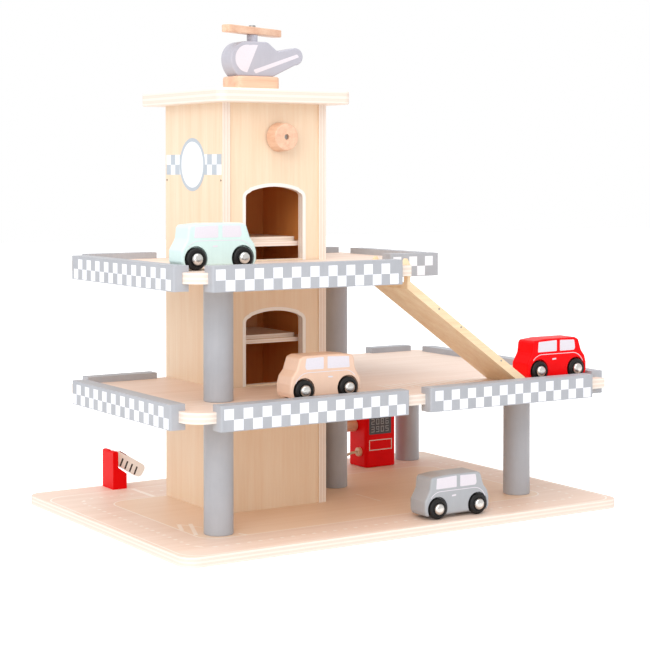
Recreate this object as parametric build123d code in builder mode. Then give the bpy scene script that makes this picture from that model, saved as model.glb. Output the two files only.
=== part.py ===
from build123d import *
import math
import os

# Toy parking garage with a hand-cranked lift, on one base plate. Millimetres.
# Origin: centre of the base plate's underside. +X runs along the long front
# side, +Y to the back and +Z up.

os.makedirs("parts", exist_ok=True)

# ---------------------------------------------------------------- sizes
# Base plate
BASE_LENGTH = 500.0
BASE_WIDTH = 350.0
BASE_THICKNESS = 9.0
BASE_CORNER = 15.0
BASE_EASE = 0.8

# Decks and the posts that carry them
LOWER_POST_HEIGHT = 112.5
UPPER_POST_HEIGHT = 112.5
DECK_THICKNESS = 10.0
DECK_CORNER = 20.0
DECK_SMALL_CORNER = 10.0
DECK_TIP_CORNER = 3.0
POST_DIAMETER = 27.5
POST_EASE = 0.6

# Grooved rails that cap the deck edges
RAIL_INSET = 3.0
RAIL_WALL = 8.5
RAIL_LIP = 6.5
RAIL_ABOVE = 6.1
RAIL_BELOW = 6.9
RAIL_EASE = 2.0

# Lift tower
TOWER_WIDTH = 119.0
TOWER_DEPTH = 119.0
TOWER_HEIGHT = 400.0
TOWER_FROM_LEFT = 118.5
TOWER_FROM_BACK = 84.0
PANEL = 8.5
FRONT_RECESS = 1.5
ROOF_OVERHANG_SIDE = 16.0
ROOF_OVERHANG_FRONT = 24.0
ROOF_OVERHANG_BACK = 27.5
ROOF_THICKNESS = 13.5
ROOF_CORNER = 9.0
ROOF_EASE = 1.5
ARCH_WIDTH = 65.5
ARCH_SPRING = 66.7
ARCH_RISE = 6.7
ARCH_SHOULDER = 5.0
SILL_RISE = 1.5
DRIVE_IN_HEIGHT = 64.0

# How far the deck outlines run
DECK_SHORT_OF_TOWER_BACK = 4.5
MID_STEP_RIGHT_OF_TOWER = 8.5
TOP_FRONT_RIGHT_OF_TOWER = 8.5
TOP_RIGHT_OF_TOWER = 93.0
TOP_NOTCH_BEFORE_TOWER = 44.5

# Ramp from the top deck to the middle deck
RAMP_WIDTH = 56.0
RAMP_FROM_FRONT = 18.0
RAMP_BOARD = 5.0
RAMP_STRIP_WIDTH = 6.0
RAMP_STRIP_HEIGHT = 7.5
RAMP_BAY = 83.5
RAMP_BELOW_DECK = 3.5
RAMP_HOOK_LENGTH = 3.5
RAMP_HOOK_HEIGHT = 6.0
RAMP_HOOK_TAIL = 3.5

# Lift car
LIFT_GAP_SIDE = 4.0
LIFT_GAP_FRONT = 3.0
LIFT_GAP_BACK = 4.5
LIFT_PLY = 4.0
LIFT_ROOF_PLY = 4.5
LIFT_MARGIN = 12.0
LIFT_ROOM = 88.0
LIFT_BACK_THICKNESS = 5.0
LIFT_HEIGHT_AT_REST = 163.0
LIFT_CORNER = 3.0

# Winch
WINCH_HEIGHT = 367.0
WINCH_SHIFT = 4.5
AXLE_DIAMETER = 5.5
KNOB_FRONT_DIAMETER = 26.5
KNOB_BACK_DIAMETER = 29.0
KNOB_LENGTH = 14.5
KNOB_HOLE_DEPTH = 2.5
KNOB_GAP = 0.4
KNOB_EASE = 1.2
DRUM_DIAMETER = 17.0
DRUM_LENGTH = 34.0
DRUM_FLANGE = 26.0
FLANGE_THICKNESS = 3.0
CORD_DIAMETER = 2.0
AXLE_IN_BACK_PANEL = 5.0

# Helicopter on the tower roof
SKID_LENGTH = 52.0
SKID_WIDTH = 35.0
SKID_HEIGHT = 15.5
SKID_CORNER = 8.0
SKID_EDGE = 2.5
HELI_THICKNESS = 22.0
HELI_NOSE_RADIUS = 17.6
HELI_CABIN_LENGTH = 42.5
HELI_BELLY_START = 8.0
HELI_BELLY_END = 48.5
HELI_TAIL_X = 75.8
HELI_TAIL_LOW = 12.7
HELI_TAIL_HIGH = 30.5
HELI_NECK_X = 54.5
HELI_NECK_Z = 26.2
HELI_BEND = 5.0
HELI_SKID_SHIFT = 7.0
HELI_EDGE = 1.5
MAST_DIAMETER = 11.0
MAST_HEIGHT = 7.3
MAST_FROM_NOSE = 30.5
MAST_SHIFT = 8.5
ROTOR_LENGTH = 92.0
ROTOR_WIDTH = 12.0
ROTOR_THICKNESS = 7.5
ROTOR_TURN = 24.0
ROTOR_END = 4.0
ROTOR_EDGE = 1.2
ROTOR_PIN_DIAMETER = 3.0
ROTOR_HEAD_DIAMETER = 7.0
ROTOR_HEAD_HEIGHT = 1.8
ROTOR_PIN_DEPTH = 6.0

# Fuel pump with its hose and nozzle
PUMP_LENGTH = 41.0
PUMP_DEPTH = 35.0
PUMP_HEIGHT = 72.0
PUMP_FROM_RIGHT = 80.0
PUMP_FROM_BACK = 30.5
PUMP_EDGE = 4.0
PUMP_FOOT_EDGE = 1.5
HOSE_DIAMETER = 2.8
HOSE_HEIGHT = 17.0
HOSE_FROM_FRONT = 12.0
GROMMET_DIAMETER = 10.0
GROMMET_LENGTH = 4.0
NOZZLE_DIAMETER = 14.0
NOZZLE_TIP_DIAMETER = 6.0
NOZZLE_TIP_LENGTH = 12.0
NOZZLE_LENGTH = 22.0
NOZZLE_HEIGHT = 46.0
NOZZLE_FROM_BACK = 13.0
NOZZLE_EASE = 1.5

# Barrier
BARRIER_FROM_LEFT = 84.3
BARRIER_FROM_BACK = 3.8
BARRIER_LENGTH = 15.8
BARRIER_DEPTH = 25.6
BARRIER_HEIGHT = 40.0
BARRIER_HEAD = 6.0
BARRIER_CORNER = 2.0
BARRIER_SHOULDER_HIGH = 22.8
BARRIER_SHOULDER_LOW = 15.7
BARRIER_SLOT = 7.0
BARRIER_BACK_WALL = 1.0
BARRIER_SLOT_FLOOR = 12.0
BARRIER_PIN_DIAMETER = 2.0
BARRIER_PIN_COVER = 3.0
BARRIER_PIVOT_X = 3.7
BARRIER_PIVOT_HEIGHT = 36.0
ARM_REACH = 42.7
ARM_HEIGHT = 14.4
ARM_SIDE_GAP = 0.3
ARM_ABOVE_PIVOT = 7.0
ARM_DROOP = 32.0
ARM_END_RADIUS = 5.0
# The arm's heel, as (along, above) from its pivot
ARM_HEEL_TOP = (-1.6, 1.8)
ARM_HEEL_BEND = -0.9
ARM_NECK = (4.0, 2.4)
ARM_SHOULDER = 5.5
ARM_HEEL_GAP = 0.4

# Cars
CAR_LENGTH = 77.0
CAR_WIDTH = 26.0
CAR_CLEARANCE = 3.5
CAR_BELT_HEIGHT = 25.5
CAR_ROOF_HEIGHT = 42.0
CAR_EDGE = 3.0
CAR_SIDE_EDGE = 2.2
CAR_WHEELBASE = 48.0
WHEEL_DIAMETER = 20.0
WHEEL_WIDTH = 7.0
WHEEL_EASE = 1.2
WHEEL_ARCH_GAP = 1.6
WHEEL_SIDE_GAP = 0.3
WHEEL_INNER = 7.7
CAR_AXLE_DIAMETER = 4.0
DOME_DIAMETER = 11.0
DOME_HEIGHT = 3.5

# Clearances
RUNNING_FIT = 0.08
REST_GAP = 0.25

# Where the cars stand: from the edges of the base plate, or from the inner
# face of the right rail, to each car's centre
MINT_FROM_LEFT = 58.0
MINT_FROM_FRONT = 57.0
BEIGE_FROM_LEFT = 160.0
BEIGE_FROM_FRONT = 39.0
RED_FROM_RAIL = 42.5
RED_FROM_FRONT = 40.5
GREY_FROM_LEFT = 304.5
GREY_FROM_FRONT = 29.0

# Post centres, from the nearest edges of the base plate
POST_FRONT_LEFT = (74.0, 75.5)
POST_FRONT_RIGHT = (71.0, 80.0)
POST_BACK_RIGHT = (46.0, 40.0)
POST_MIDDLE_RIGHT_OF_TOWER = 53.2
POST_MIDDLE_FROM_TOWER_FRONT = 66.6

# ------------------------------------------------------- derived places
left = -BASE_LENGTH / 2
right = BASE_LENGTH / 2
front = -BASE_WIDTH / 2
back = BASE_WIDTH / 2

ground = BASE_THICKNESS
mid_bottom = ground + LOWER_POST_HEIGHT
mid_top = mid_bottom + DECK_THICKNESS
top_bottom = mid_top + UPPER_POST_HEIGHT
top_top = top_bottom + DECK_THICKNESS
tower_top = ground + TOWER_HEIGHT
roof_top = tower_top + ROOF_THICKNESS

tower_left = left + TOWER_FROM_LEFT
tower_right = tower_left + TOWER_WIDTH
tower_back = back - TOWER_FROM_BACK
tower_front = tower_back - TOWER_DEPTH
tower_x = (tower_left + tower_right) / 2
tower_y = (tower_front + tower_back) / 2

deck_inset = RAIL_INSET + RAIL_WALL
deck_left = left + deck_inset
deck_right = right - deck_inset
deck_front = front + deck_inset
deck_back = back - deck_inset
deck_short_back = tower_back - DECK_SHORT_OF_TOWER_BACK
mid_step = tower_right + MID_STEP_RIGHT_OF_TOWER
top_front_end = tower_right + TOP_FRONT_RIGHT_OF_TOWER
top_right = tower_right + TOP_RIGHT_OF_TOWER
top_notch = tower_front - TOP_NOTCH_BEFORE_TOWER
rail_depth = RAIL_WALL + RAIL_LIP

post_front_left = (left + POST_FRONT_LEFT[0], front + POST_FRONT_LEFT[1])
post_front_right = (right - POST_FRONT_RIGHT[0], front + POST_FRONT_RIGHT[1])
post_back_right = (right - POST_BACK_RIGHT[0], back - POST_BACK_RIGHT[1])
post_middle = (tower_right + POST_MIDDLE_RIGHT_OF_TOWER,
               tower_front + POST_MIDDLE_FROM_TOWER_FRONT)


# ------------------------------------------------------------ base plate
with BuildPart() as base_plate:
    with BuildSketch(Plane.XY):
        RectangleRounded(BASE_LENGTH, BASE_WIDTH, BASE_CORNER)
    extrude(amount=BASE_THICKNESS)
    fillet(base_plate.faces().sort_by(Axis.Z)[-1].edges(), BASE_EASE)
base_plate.part.label = "base_plate"
export_step(base_plate.part, "parts/base_plate.step")


# ----------------------------------------------------------------- decks
with BuildPart() as mid_deck:
    with BuildSketch(Plane.XY.offset(mid_bottom)) as mid_outline:
        with BuildLine():
            Polyline((deck_left, deck_front), (deck_right, deck_front), (deck_right, deck_back),
                     (mid_step, deck_back), (mid_step, deck_short_back),
                     (tower_right, deck_short_back), (tower_right, tower_front),
                     (tower_left, tower_front), (tower_left, deck_short_back),
                     (deck_left, deck_short_back), close=True)
        make_face()
        front_corners = mid_outline.vertices().group_by(Axis.Y)[0].sort_by(Axis.X)
        fillet(front_corners[0], DECK_CORNER)
        fillet(front_corners[-1], DECK_TIP_CORNER)
        fillet(mid_outline.vertices().sort_by(Axis.Y)[-2:], DECK_SMALL_CORNER)
    extrude(amount=DECK_THICKNESS)
mid_deck.part.label = "mid_deck"
export_step(mid_deck.part, "parts/mid_deck.step")

with BuildPart() as top_deck:
    with BuildSketch(Plane.XY.offset(top_bottom)) as top_outline:
        with BuildLine():
            Polyline((deck_left, deck_front), (top_front_end, deck_front),
                     (top_front_end, top_notch), (top_right, top_notch),
                     (top_right, deck_short_back), (tower_right, deck_short_back),
                     (tower_right, tower_front), (tower_left, tower_front),
                     (tower_left, deck_short_back), (deck_left, deck_short_back), close=True)
        make_face()
        fillet(top_outline.vertices().group_by(Axis.Y)[0].sort_by(Axis.X)[0], DECK_CORNER)
    extrude(amount=DECK_THICKNESS)
top_deck.part.label = "top_deck"
export_step(top_deck.part, "parts/top_deck.step")


# ----------------------------------------------------------------- posts
def build_posts(node, places, bottom, height):
    """Round posts of one storey, one solid each, in one node."""
    with BuildPart() as posts:
        with BuildSketch(Plane.XY.offset(bottom)):
            with Locations(*places):
                Circle(POST_DIAMETER / 2)
        extrude(amount=height)
        rims = posts.edges().filter_by(GeomType.CIRCLE)
        chamfer(rims, POST_EASE)
    posts.part.label = node
    export_step(posts.part, f"parts/{node}.step")


build_posts("lower_posts", [post_front_left, post_front_right, post_back_right, post_middle],
            ground, LOWER_POST_HEIGHT)
build_posts("upper_posts", [post_front_left, post_middle], mid_top, UPPER_POST_HEIGHT)


# ----------------------------------------------------------------- rails
# The way from each outer face towards the deck
INWARD = {"front": (0, 1), "back": (0, -1), "left": (1, 0), "right": (-1, 0)}


def rail_plane(side, outer, low, high, deck_bottom):
    """Plane across a rail at its first end: local x inward, local y up."""
    inward_x, inward_y = INWARD[side]
    along = (inward_y, -inward_x, 0)
    first = low if along[0] + along[1] > 0 else high
    origin = (first, outer) if inward_x == 0 else (outer, first)
    return Plane(origin=(*origin, deck_bottom), x_dir=(inward_x, inward_y, 0), z_dir=along)


def build_rail(node, spans, deck_bottom):
    """Grooved rails: each span is (side, outer face, low end, high end)."""
    groove_top = DECK_THICKNESS
    with BuildPart() as rail:
        for side, outer, low, high in spans:
            with BuildSketch(rail_plane(side, outer, low, high, deck_bottom)):
                with BuildLine():
                    Polyline((0, -RAIL_BELOW), (rail_depth, -RAIL_BELOW), (rail_depth, 0),
                             (RAIL_WALL, 0), (RAIL_WALL, groove_top), (rail_depth, groove_top),
                             (rail_depth, groove_top + RAIL_ABOVE),
                             (0, groove_top + RAIL_ABOVE), close=True)
                make_face()
            extrude(amount=high - low)
        rail_height = RAIL_BELOW + DECK_THICKNESS + RAIL_ABOVE
        uprights = rail.edges().filter_by(Axis.Z)
        corners = uprights.filter_by(lambda edge: edge.length > rail_height - RAIL_EASE)
        fillet(corners, RAIL_EASE)
    rail.part.label = node
    export_step(rail.part, f"parts/{node}.step")


front_line = front + RAIL_INSET
back_line = back - RAIL_INSET
left_line = left + RAIL_INSET
right_line = right - RAIL_INSET
short_back_line = deck_short_back + RAIL_WALL
top_right_line = top_right + RAIL_WALL
notch_line = top_notch - RAIL_WALL

# How far each rail's two ends stay from the corners, walls or deck ends beside
# them. The two front rails of the middle deck share one gap near the middle.
FRONT_LEFT_END = 36.5
FRONT_RIGHT_END = 34.6
FRONT_GAP = 24.2
FRONT_GAP_SHIFT = 0.3
TOP_FRONT_SPAN = (28.3, 15.2)
LEFT_SPAN = (35.0, 243.0)
TOP_LEFT_SPAN = (28.0, 243.0)
RIGHT_SPAN = (24.0, 319.0)
BACK_LEFT_SPAN = (26.0, 16.0)
BACK_RIGHT_SPAN = (25.0, 80.0)
TOP_RIGHT_FAR_END = 21.7
TOP_BACK_RIGHT_SPAN = (2.5, 15.5)
NOTCH_RAIL_LENGTH = 59.0

gap_left = FRONT_GAP_SHIFT - FRONT_GAP / 2
gap_right = FRONT_GAP_SHIFT + FRONT_GAP / 2

build_rail("mid_rail_front_left",
           [("front", front_line, left + FRONT_LEFT_END, gap_left)], mid_bottom)
build_rail("mid_rail_front_right",
           [("front", front_line, gap_right, right - FRONT_RIGHT_END)], mid_bottom)
build_rail("mid_rail_left",
           [("left", left_line, front + LEFT_SPAN[0], front + LEFT_SPAN[1])], mid_bottom)
build_rail("mid_rail_right",
           [("right", right_line, front + RIGHT_SPAN[0], front + RIGHT_SPAN[1])], mid_bottom)
build_rail("mid_rail_back_left",
           [("back", short_back_line, left + BACK_LEFT_SPAN[0], tower_left - BACK_LEFT_SPAN[1])],
           mid_bottom)
build_rail("mid_rail_back_right",
           [("back", back_line, right - BACK_RIGHT_SPAN[1], right - BACK_RIGHT_SPAN[0])],
           mid_bottom)
build_rail("top_rail_front",
           [("front", front_line, left + TOP_FRONT_SPAN[0], top_front_end - TOP_FRONT_SPAN[1])],
           top_bottom)
build_rail("top_rail_left",
           [("left", left_line, front + TOP_LEFT_SPAN[0], front + TOP_LEFT_SPAN[1])], top_bottom)
build_rail("top_rail_right",
           [("right", top_right_line, notch_line + RAIL_WALL * 2 + RAIL_INSET,
             short_back_line - TOP_RIGHT_FAR_END - rail_depth)], top_bottom)
build_rail("top_rail_notch",
           [("front", notch_line, top_right_line - NOTCH_RAIL_LENGTH, top_right_line)], top_bottom)
build_rail("top_rail_back",
           [("back", short_back_line, left + BACK_LEFT_SPAN[0], tower_left - BACK_LEFT_SPAN[1]),
            ("back", short_back_line, tower_right + TOP_BACK_RIGHT_SPAN[0],
             top_right_line - TOP_BACK_RIGHT_SPAN[1])], top_bottom)


# ----------------------------------------------------------------- tower
def arch_outline(bottom, spring):
    """Doorway: straight sides, then a flat arch between rounded shoulders."""
    half = ARCH_WIDTH / 2
    Polyline((-half, spring), (-half, bottom), (half, bottom), (half, spring))
    ThreePointArc((half, spring), (0, spring + ARCH_RISE), (-half, spring))


axle_height = ground + WINCH_HEIGHT
winch_x = tower_x + WINCH_SHIFT
front_panel_y = tower_front + FRONT_RECESS
shaft_width = TOWER_WIDTH - 2 * PANEL

for node, edge in (("tower_left_panel", tower_left), ("tower_right_panel", tower_right - PANEL)):
    with BuildPart() as side_panel:
        with BuildSketch(Plane.XY.offset(ground)):
            with Locations((edge + PANEL / 2, tower_y)):
                Rectangle(PANEL, TOWER_DEPTH)
        extrude(amount=TOWER_HEIGHT)
        if node == "tower_right_panel":
            doorway = Plane(origin=(edge - 1, tower_y, ground), x_dir=(0, 1, 0), z_dir=(1, 0, 0))
            with BuildSketch(doorway) as drive_in:
                with BuildLine():
                    arch_outline(0, DRIVE_IN_HEIGHT)
                make_face()
                fillet(drive_in.vertices().sort_by(Axis.Y)[-2:], ARCH_SHOULDER)
            extrude(amount=PANEL + 2, mode=Mode.SUBTRACT)
    side_panel.part.label = node
    export_step(side_panel.part, f"parts/{node}.step")

with BuildPart() as front_panel:
    with BuildSketch(Plane.XY.offset(ground)):
        with Locations((tower_x, front_panel_y + PANEL / 2)):
            Rectangle(shaft_width, PANEL)
    extrude(amount=TOWER_HEIGHT)
    for floor_top in (mid_top, top_top):
        sill = Plane(origin=(tower_x, front_panel_y + PANEL + 1, floor_top), x_dir=(1, 0, 0),
                     z_dir=(0, -1, 0))
        with BuildSketch(sill) as gate:
            with BuildLine():
                arch_outline(SILL_RISE, ARCH_SPRING)
            make_face()
            fillet(gate.vertices().sort_by(Axis.Y)[-2:], ARCH_SHOULDER)
        extrude(amount=PANEL + 2, mode=Mode.SUBTRACT)
    with BuildSketch(Plane(origin=(winch_x, front_panel_y - 1, axle_height), x_dir=(1, 0, 0),
                           z_dir=(0, -1, 0))):
        Circle(AXLE_DIAMETER / 2 + RUNNING_FIT)
    extrude(amount=-(PANEL + 2), mode=Mode.SUBTRACT)
front_panel.part.label = "tower_front_panel"
export_step(front_panel.part, "parts/tower_front_panel.step")

back_panel_y = tower_back - PANEL
with BuildPart() as rear_panel:
    with BuildSketch(Plane.XY.offset(ground)):
        with Locations((tower_x, back_panel_y + PANEL / 2)):
            Rectangle(shaft_width, PANEL)
    extrude(amount=TOWER_HEIGHT)
    with BuildSketch(Plane(origin=(winch_x, back_panel_y, axle_height), x_dir=(1, 0, 0),
                           z_dir=(0, -1, 0))):
        Circle(AXLE_DIAMETER / 2 + RUNNING_FIT)
    extrude(amount=-(AXLE_IN_BACK_PANEL + KNOB_GAP), mode=Mode.SUBTRACT)
rear_panel.part.label = "tower_back_panel"
export_step(rear_panel.part, "parts/tower_back_panel.step")

with BuildPart() as tower_roof:
    with BuildSketch(Plane.XY.offset(tower_top)):
        with Locations((tower_x, tower_y + (ROOF_OVERHANG_BACK - ROOF_OVERHANG_FRONT) / 2)):
            RectangleRounded(TOWER_WIDTH + 2 * ROOF_OVERHANG_SIDE,
                             TOWER_DEPTH + ROOF_OVERHANG_FRONT + ROOF_OVERHANG_BACK, ROOF_CORNER)
    extrude(amount=ROOF_THICKNESS)
    fillet(tower_roof.faces().sort_by(Axis.Z)[-1].edges(), ROOF_EASE)
    fillet(tower_roof.faces().sort_by(Axis.Z)[0].edges(), ROOF_EASE)
tower_roof.part.label = "tower_roof"
export_step(tower_roof.part, "parts/tower_roof.step")


# ------------------------------------------------------------------ ramp
# The ramp is drawn in a plane along X, with its foot on the middle deck.
ramp_head_x = top_front_end
ramp_foot_x = right - RAIL_INSET - rail_depth - RAMP_BAY
ramp_head_z = top_bottom - RAMP_BELOW_DECK
ramp_slope = (ramp_head_z - mid_top) / (ramp_foot_x - ramp_head_x)
ramp_angle = math.atan(ramp_slope)
strip_drop = RAMP_STRIP_HEIGHT / math.cos(ramp_angle)
board_drop = RAMP_BOARD / math.cos(ramp_angle)
board_under = strip_drop - board_drop
ramp_front = front + RAMP_FROM_FRONT


def ramp_line(x, below):
    """Point at x, so far below the strips' top line."""
    return (x, ramp_head_z - (x - ramp_head_x) * ramp_slope - below)


def ramp_end(below):
    """Point where the line so far below the strips' top meets the middle deck."""
    return (ramp_foot_x - below / ramp_slope, mid_top)


with BuildPart() as ramp_board:
    with BuildSketch(Plane.XZ.offset(-(ramp_front + RAMP_STRIP_WIDTH))):
        with BuildLine():
            Polyline(ramp_line(ramp_head_x, board_under), ramp_end(board_under),
                     ramp_end(board_under + board_drop),
                     ramp_line(ramp_head_x, board_under + board_drop), close=True)
        make_face()
    extrude(amount=-(RAMP_WIDTH - 2 * RAMP_STRIP_WIDTH))
ramp_board.part.label = "ramp_board"
export_step(ramp_board.part, "parts/ramp_board.step")

with BuildPart() as ramp_strips:
    for strip_y in (ramp_front, ramp_front + RAMP_WIDTH - RAMP_STRIP_WIDTH):
        with BuildSketch(Plane.XZ.offset(-strip_y)):
            with BuildLine():
                Polyline(ramp_line(ramp_head_x, strip_drop),
                         (ramp_head_x, top_top), (ramp_head_x - RAMP_HOOK_LENGTH, top_top),
                         (ramp_head_x, top_top + RAMP_HOOK_HEIGHT),
                         (ramp_head_x + RAMP_HOOK_TAIL, top_top),
                         ramp_line(ramp_head_x + RAMP_HOOK_TAIL, 0), ramp_end(0),
                         ramp_end(strip_drop), close=True)
            make_face()
        extrude(amount=-RAMP_STRIP_WIDTH)
ramp_strips.part.label = "ramp_strips"
export_step(ramp_strips.part, "parts/ramp_strips.step")


# -------------------------------------------------------------- lift car
lift_left = tower_left + PANEL + LIFT_GAP_SIDE
lift_right = tower_right - PANEL - LIFT_GAP_SIDE
lift_front = front_panel_y + PANEL + LIFT_GAP_FRONT
lift_back = back_panel_y - LIFT_GAP_BACK
lift_y = (lift_front + lift_back) / 2
lift_width = lift_right - lift_left
lift_depth = lift_back - lift_front
lift_bottom = ground + LIFT_HEIGHT_AT_REST
lift_floor = lift_bottom + 2 * LIFT_PLY
lift_ceiling = lift_floor + LIFT_ROOM
lift_top = lift_ceiling + 2 * LIFT_ROOF_PLY
small_width = lift_width - 2 * LIFT_MARGIN
small_depth = lift_depth - LIFT_MARGIN


def build_lift_board(node, bottom, width, depth, thickness, holes=()):
    """Flat board of the lift car, centred on the car, with round holes."""
    with BuildPart() as board:
        with BuildSketch(Plane.XY.offset(bottom)):
            with Locations((tower_x, lift_y)):
                RectangleRounded(width, depth, LIFT_CORNER)
            for hole_x, hole_radius in holes:
                with Locations((hole_x, lift_y)):
                    Circle(hole_radius, mode=Mode.SUBTRACT)
        extrude(amount=thickness)
    board.part.label = node
    export_step(board.part, f"parts/{node}.step")


build_lift_board("lift_floor_plate", lift_bottom, lift_width, lift_depth, LIFT_PLY)
build_lift_board("lift_floor_board", lift_bottom + LIFT_PLY, small_width, small_depth, LIFT_PLY)
build_lift_board("lift_roof_board", lift_ceiling, lift_width, lift_depth, LIFT_ROOF_PLY)
build_lift_board("lift_roof_plate", lift_ceiling + LIFT_ROOF_PLY, small_width, small_depth,
                 LIFT_ROOF_PLY)

with BuildPart() as lift_back_board:
    with BuildSketch(Plane.XY.offset(lift_floor)):
        with Locations((tower_x, lift_y + small_depth / 2 - LIFT_BACK_THICKNESS / 2)):
            Rectangle(small_width, LIFT_BACK_THICKNESS)
    extrude(amount=LIFT_ROOM)
lift_back_board.part.label = "lift_back_board"
export_step(lift_back_board.part, "parts/lift_back_board.step")

# The cord runs from the car's roof up to the side of the drum.
cord_x = winch_x - DRUM_DIAMETER / 2 - CORD_DIAMETER / 2
with BuildPart() as lift_cord:
    with BuildSketch(Plane.XY.offset(lift_top)):
        with Locations((cord_x, lift_y)):
            Circle(CORD_DIAMETER / 2)
    extrude(amount=axle_height - lift_top)
lift_cord.part.label = "lift_cord"
export_step(lift_cord.part, "parts/lift_cord.step")


# ----------------------------------------------------------------- winch
# Its pieces turn about one line along Y.
knob_back = tower_front - KNOB_GAP
knob_front = knob_back - KNOB_LENGTH
axle_end = back_panel_y + AXLE_IN_BACK_PANEL


def winch_plane(y):
    """Plane across the winch line, whose normal points to the back."""
    return Plane(origin=(winch_x, y, axle_height), x_dir=(1, 0, 0), z_dir=(0, 1, 0))


axle_start = knob_front + KNOB_HOLE_DEPTH
with BuildPart() as winch_axle:
    with BuildSketch(winch_plane(axle_start)):
        Circle(AXLE_DIAMETER / 2)
    extrude(amount=axle_end - axle_start)
winch_axle.part.label = "winch_axle"
export_step(winch_axle.part, "parts/winch_axle.step")

with BuildPart() as winch_drum:
    with BuildSketch(winch_plane(lift_y - DRUM_LENGTH / 2)):
        Circle(DRUM_DIAMETER / 2)
    extrude(amount=DRUM_LENGTH)
    for flange_y in (lift_y - DRUM_LENGTH / 2, lift_y + DRUM_LENGTH / 2 - FLANGE_THICKNESS):
        with BuildSketch(winch_plane(flange_y)):
            Circle(DRUM_FLANGE / 2)
        extrude(amount=FLANGE_THICKNESS)
    with BuildSketch(winch_plane(lift_y - DRUM_LENGTH / 2)):
        Circle(AXLE_DIAMETER / 2)
    extrude(amount=DRUM_LENGTH, mode=Mode.SUBTRACT)
winch_drum.part.label = "winch_drum"
export_step(winch_drum.part, "parts/winch_drum.step")

with BuildPart() as winch_knob:
    with BuildSketch(winch_plane(knob_front)):
        Circle(KNOB_FRONT_DIAMETER / 2)
    with BuildSketch(winch_plane(knob_back)):
        Circle(KNOB_BACK_DIAMETER / 2)
    loft()
    fillet(winch_knob.edges().filter_by(GeomType.CIRCLE).sort_by(Axis.Y)[0], KNOB_EASE)
    with BuildSketch(winch_plane(knob_front)):
        Circle(AXLE_DIAMETER / 2)
    extrude(amount=KNOB_LENGTH, mode=Mode.SUBTRACT)
winch_knob.part.label = "winch_knob"
export_step(winch_knob.part, "parts/winch_knob.step")


# ------------------------------------------------------------ helicopter
skid_bottom = roof_top + REST_GAP
belly = skid_bottom + SKID_HEIGHT
skid_x = tower_x + HELI_SKID_SHIFT
mast_x = tower_x + MAST_SHIFT
nose_x = mast_x - MAST_FROM_NOSE
heli_side = Plane(origin=(nose_x, tower_y + HELI_THICKNESS / 2, belly), x_dir=(1, 0, 0),
                  z_dir=(0, -1, 0))
cabin_top = 2 * HELI_NOSE_RADIUS

with BuildPart() as helicopter_skid:
    with BuildSketch(Plane.XY.offset(skid_bottom)):
        with Locations((skid_x, tower_y)):
            RectangleRounded(SKID_LENGTH, SKID_WIDTH, SKID_CORNER)
    extrude(amount=SKID_HEIGHT)
    fillet(helicopter_skid.faces().sort_by(Axis.Z)[-1].edges(), SKID_EDGE)
    fillet(helicopter_skid.faces().sort_by(Axis.Z)[0].edges(), SKID_EDGE)
helicopter_skid.part.label = "helicopter_skid"
export_step(helicopter_skid.part, "parts/helicopter_skid.step")

with BuildPart() as helicopter_body:
    with BuildSketch(heli_side) as silhouette:
        with BuildLine():
            nose = CenterArc((HELI_NOSE_RADIUS, HELI_NOSE_RADIUS), HELI_NOSE_RADIUS, 90, 90)
            chin = TangentArc(nose @ 1, (HELI_BELLY_START, 0), tangent=nose % 1)
            Polyline(chin @ 1, (HELI_BELLY_END, 0), (HELI_TAIL_X, HELI_TAIL_LOW))
            ThreePointArc((HELI_TAIL_X, HELI_TAIL_LOW),
                          (HELI_TAIL_X + (HELI_TAIL_HIGH - HELI_TAIL_LOW) / 2,
                           (HELI_TAIL_LOW + HELI_TAIL_HIGH) / 2),
                          (HELI_TAIL_X, HELI_TAIL_HIGH))
            Polyline((HELI_TAIL_X, HELI_TAIL_HIGH), (HELI_NECK_X, HELI_NECK_Z),
                     (HELI_CABIN_LENGTH, cabin_top), nose @ 0)
        make_face()
        behind_nose = silhouette.vertices().filter_by(
            lambda corner: HELI_NOSE_RADIUS + 1 < corner.X < HELI_TAIL_X - 1)
        fillet(behind_nose, HELI_BEND)
    extrude(amount=HELI_THICKNESS)
    fillet(helicopter_body.faces().filter_by(Axis.Y).edges(), HELI_EDGE)
helicopter_body.part.label = "helicopter_body"
export_step(helicopter_body.part, "parts/helicopter_body.step")

mast_bottom = belly + cabin_top
rotor_bottom = mast_bottom + MAST_HEIGHT + REST_GAP
with BuildPart() as helicopter_mast:
    with BuildSketch(Plane.XY.offset(mast_bottom)):
        with Locations((mast_x, tower_y)):
            Circle(MAST_DIAMETER / 2)
            Circle(ROTOR_PIN_DIAMETER / 2, mode=Mode.SUBTRACT)
    extrude(amount=MAST_HEIGHT)
helicopter_mast.part.label = "helicopter_mast"
export_step(helicopter_mast.part, "parts/helicopter_mast.step")

rotor_top = rotor_bottom + ROTOR_THICKNESS
with BuildPart() as helicopter_rotor:
    turned = Plane(origin=(mast_x, tower_y, rotor_bottom),
                   x_dir=(math.cos(math.radians(ROTOR_TURN)), math.sin(math.radians(ROTOR_TURN)), 0),
                   z_dir=(0, 0, 1))
    with BuildSketch(turned):
        RectangleRounded(ROTOR_LENGTH, ROTOR_WIDTH, ROTOR_END)
        Circle(ROTOR_PIN_DIAMETER / 2 + RUNNING_FIT, mode=Mode.SUBTRACT)
    extrude(amount=ROTOR_THICKNESS)
    rims = helicopter_rotor.faces().filter_by(Axis.Z).edges()
    fillet(rims.filter_by(lambda rim: rim.radius > ROTOR_PIN_DIAMETER if
                          rim.geom_type == GeomType.CIRCLE else True), ROTOR_EDGE)
helicopter_rotor.part.label = "helicopter_rotor"
export_step(helicopter_rotor.part, "parts/helicopter_rotor.step")

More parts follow.
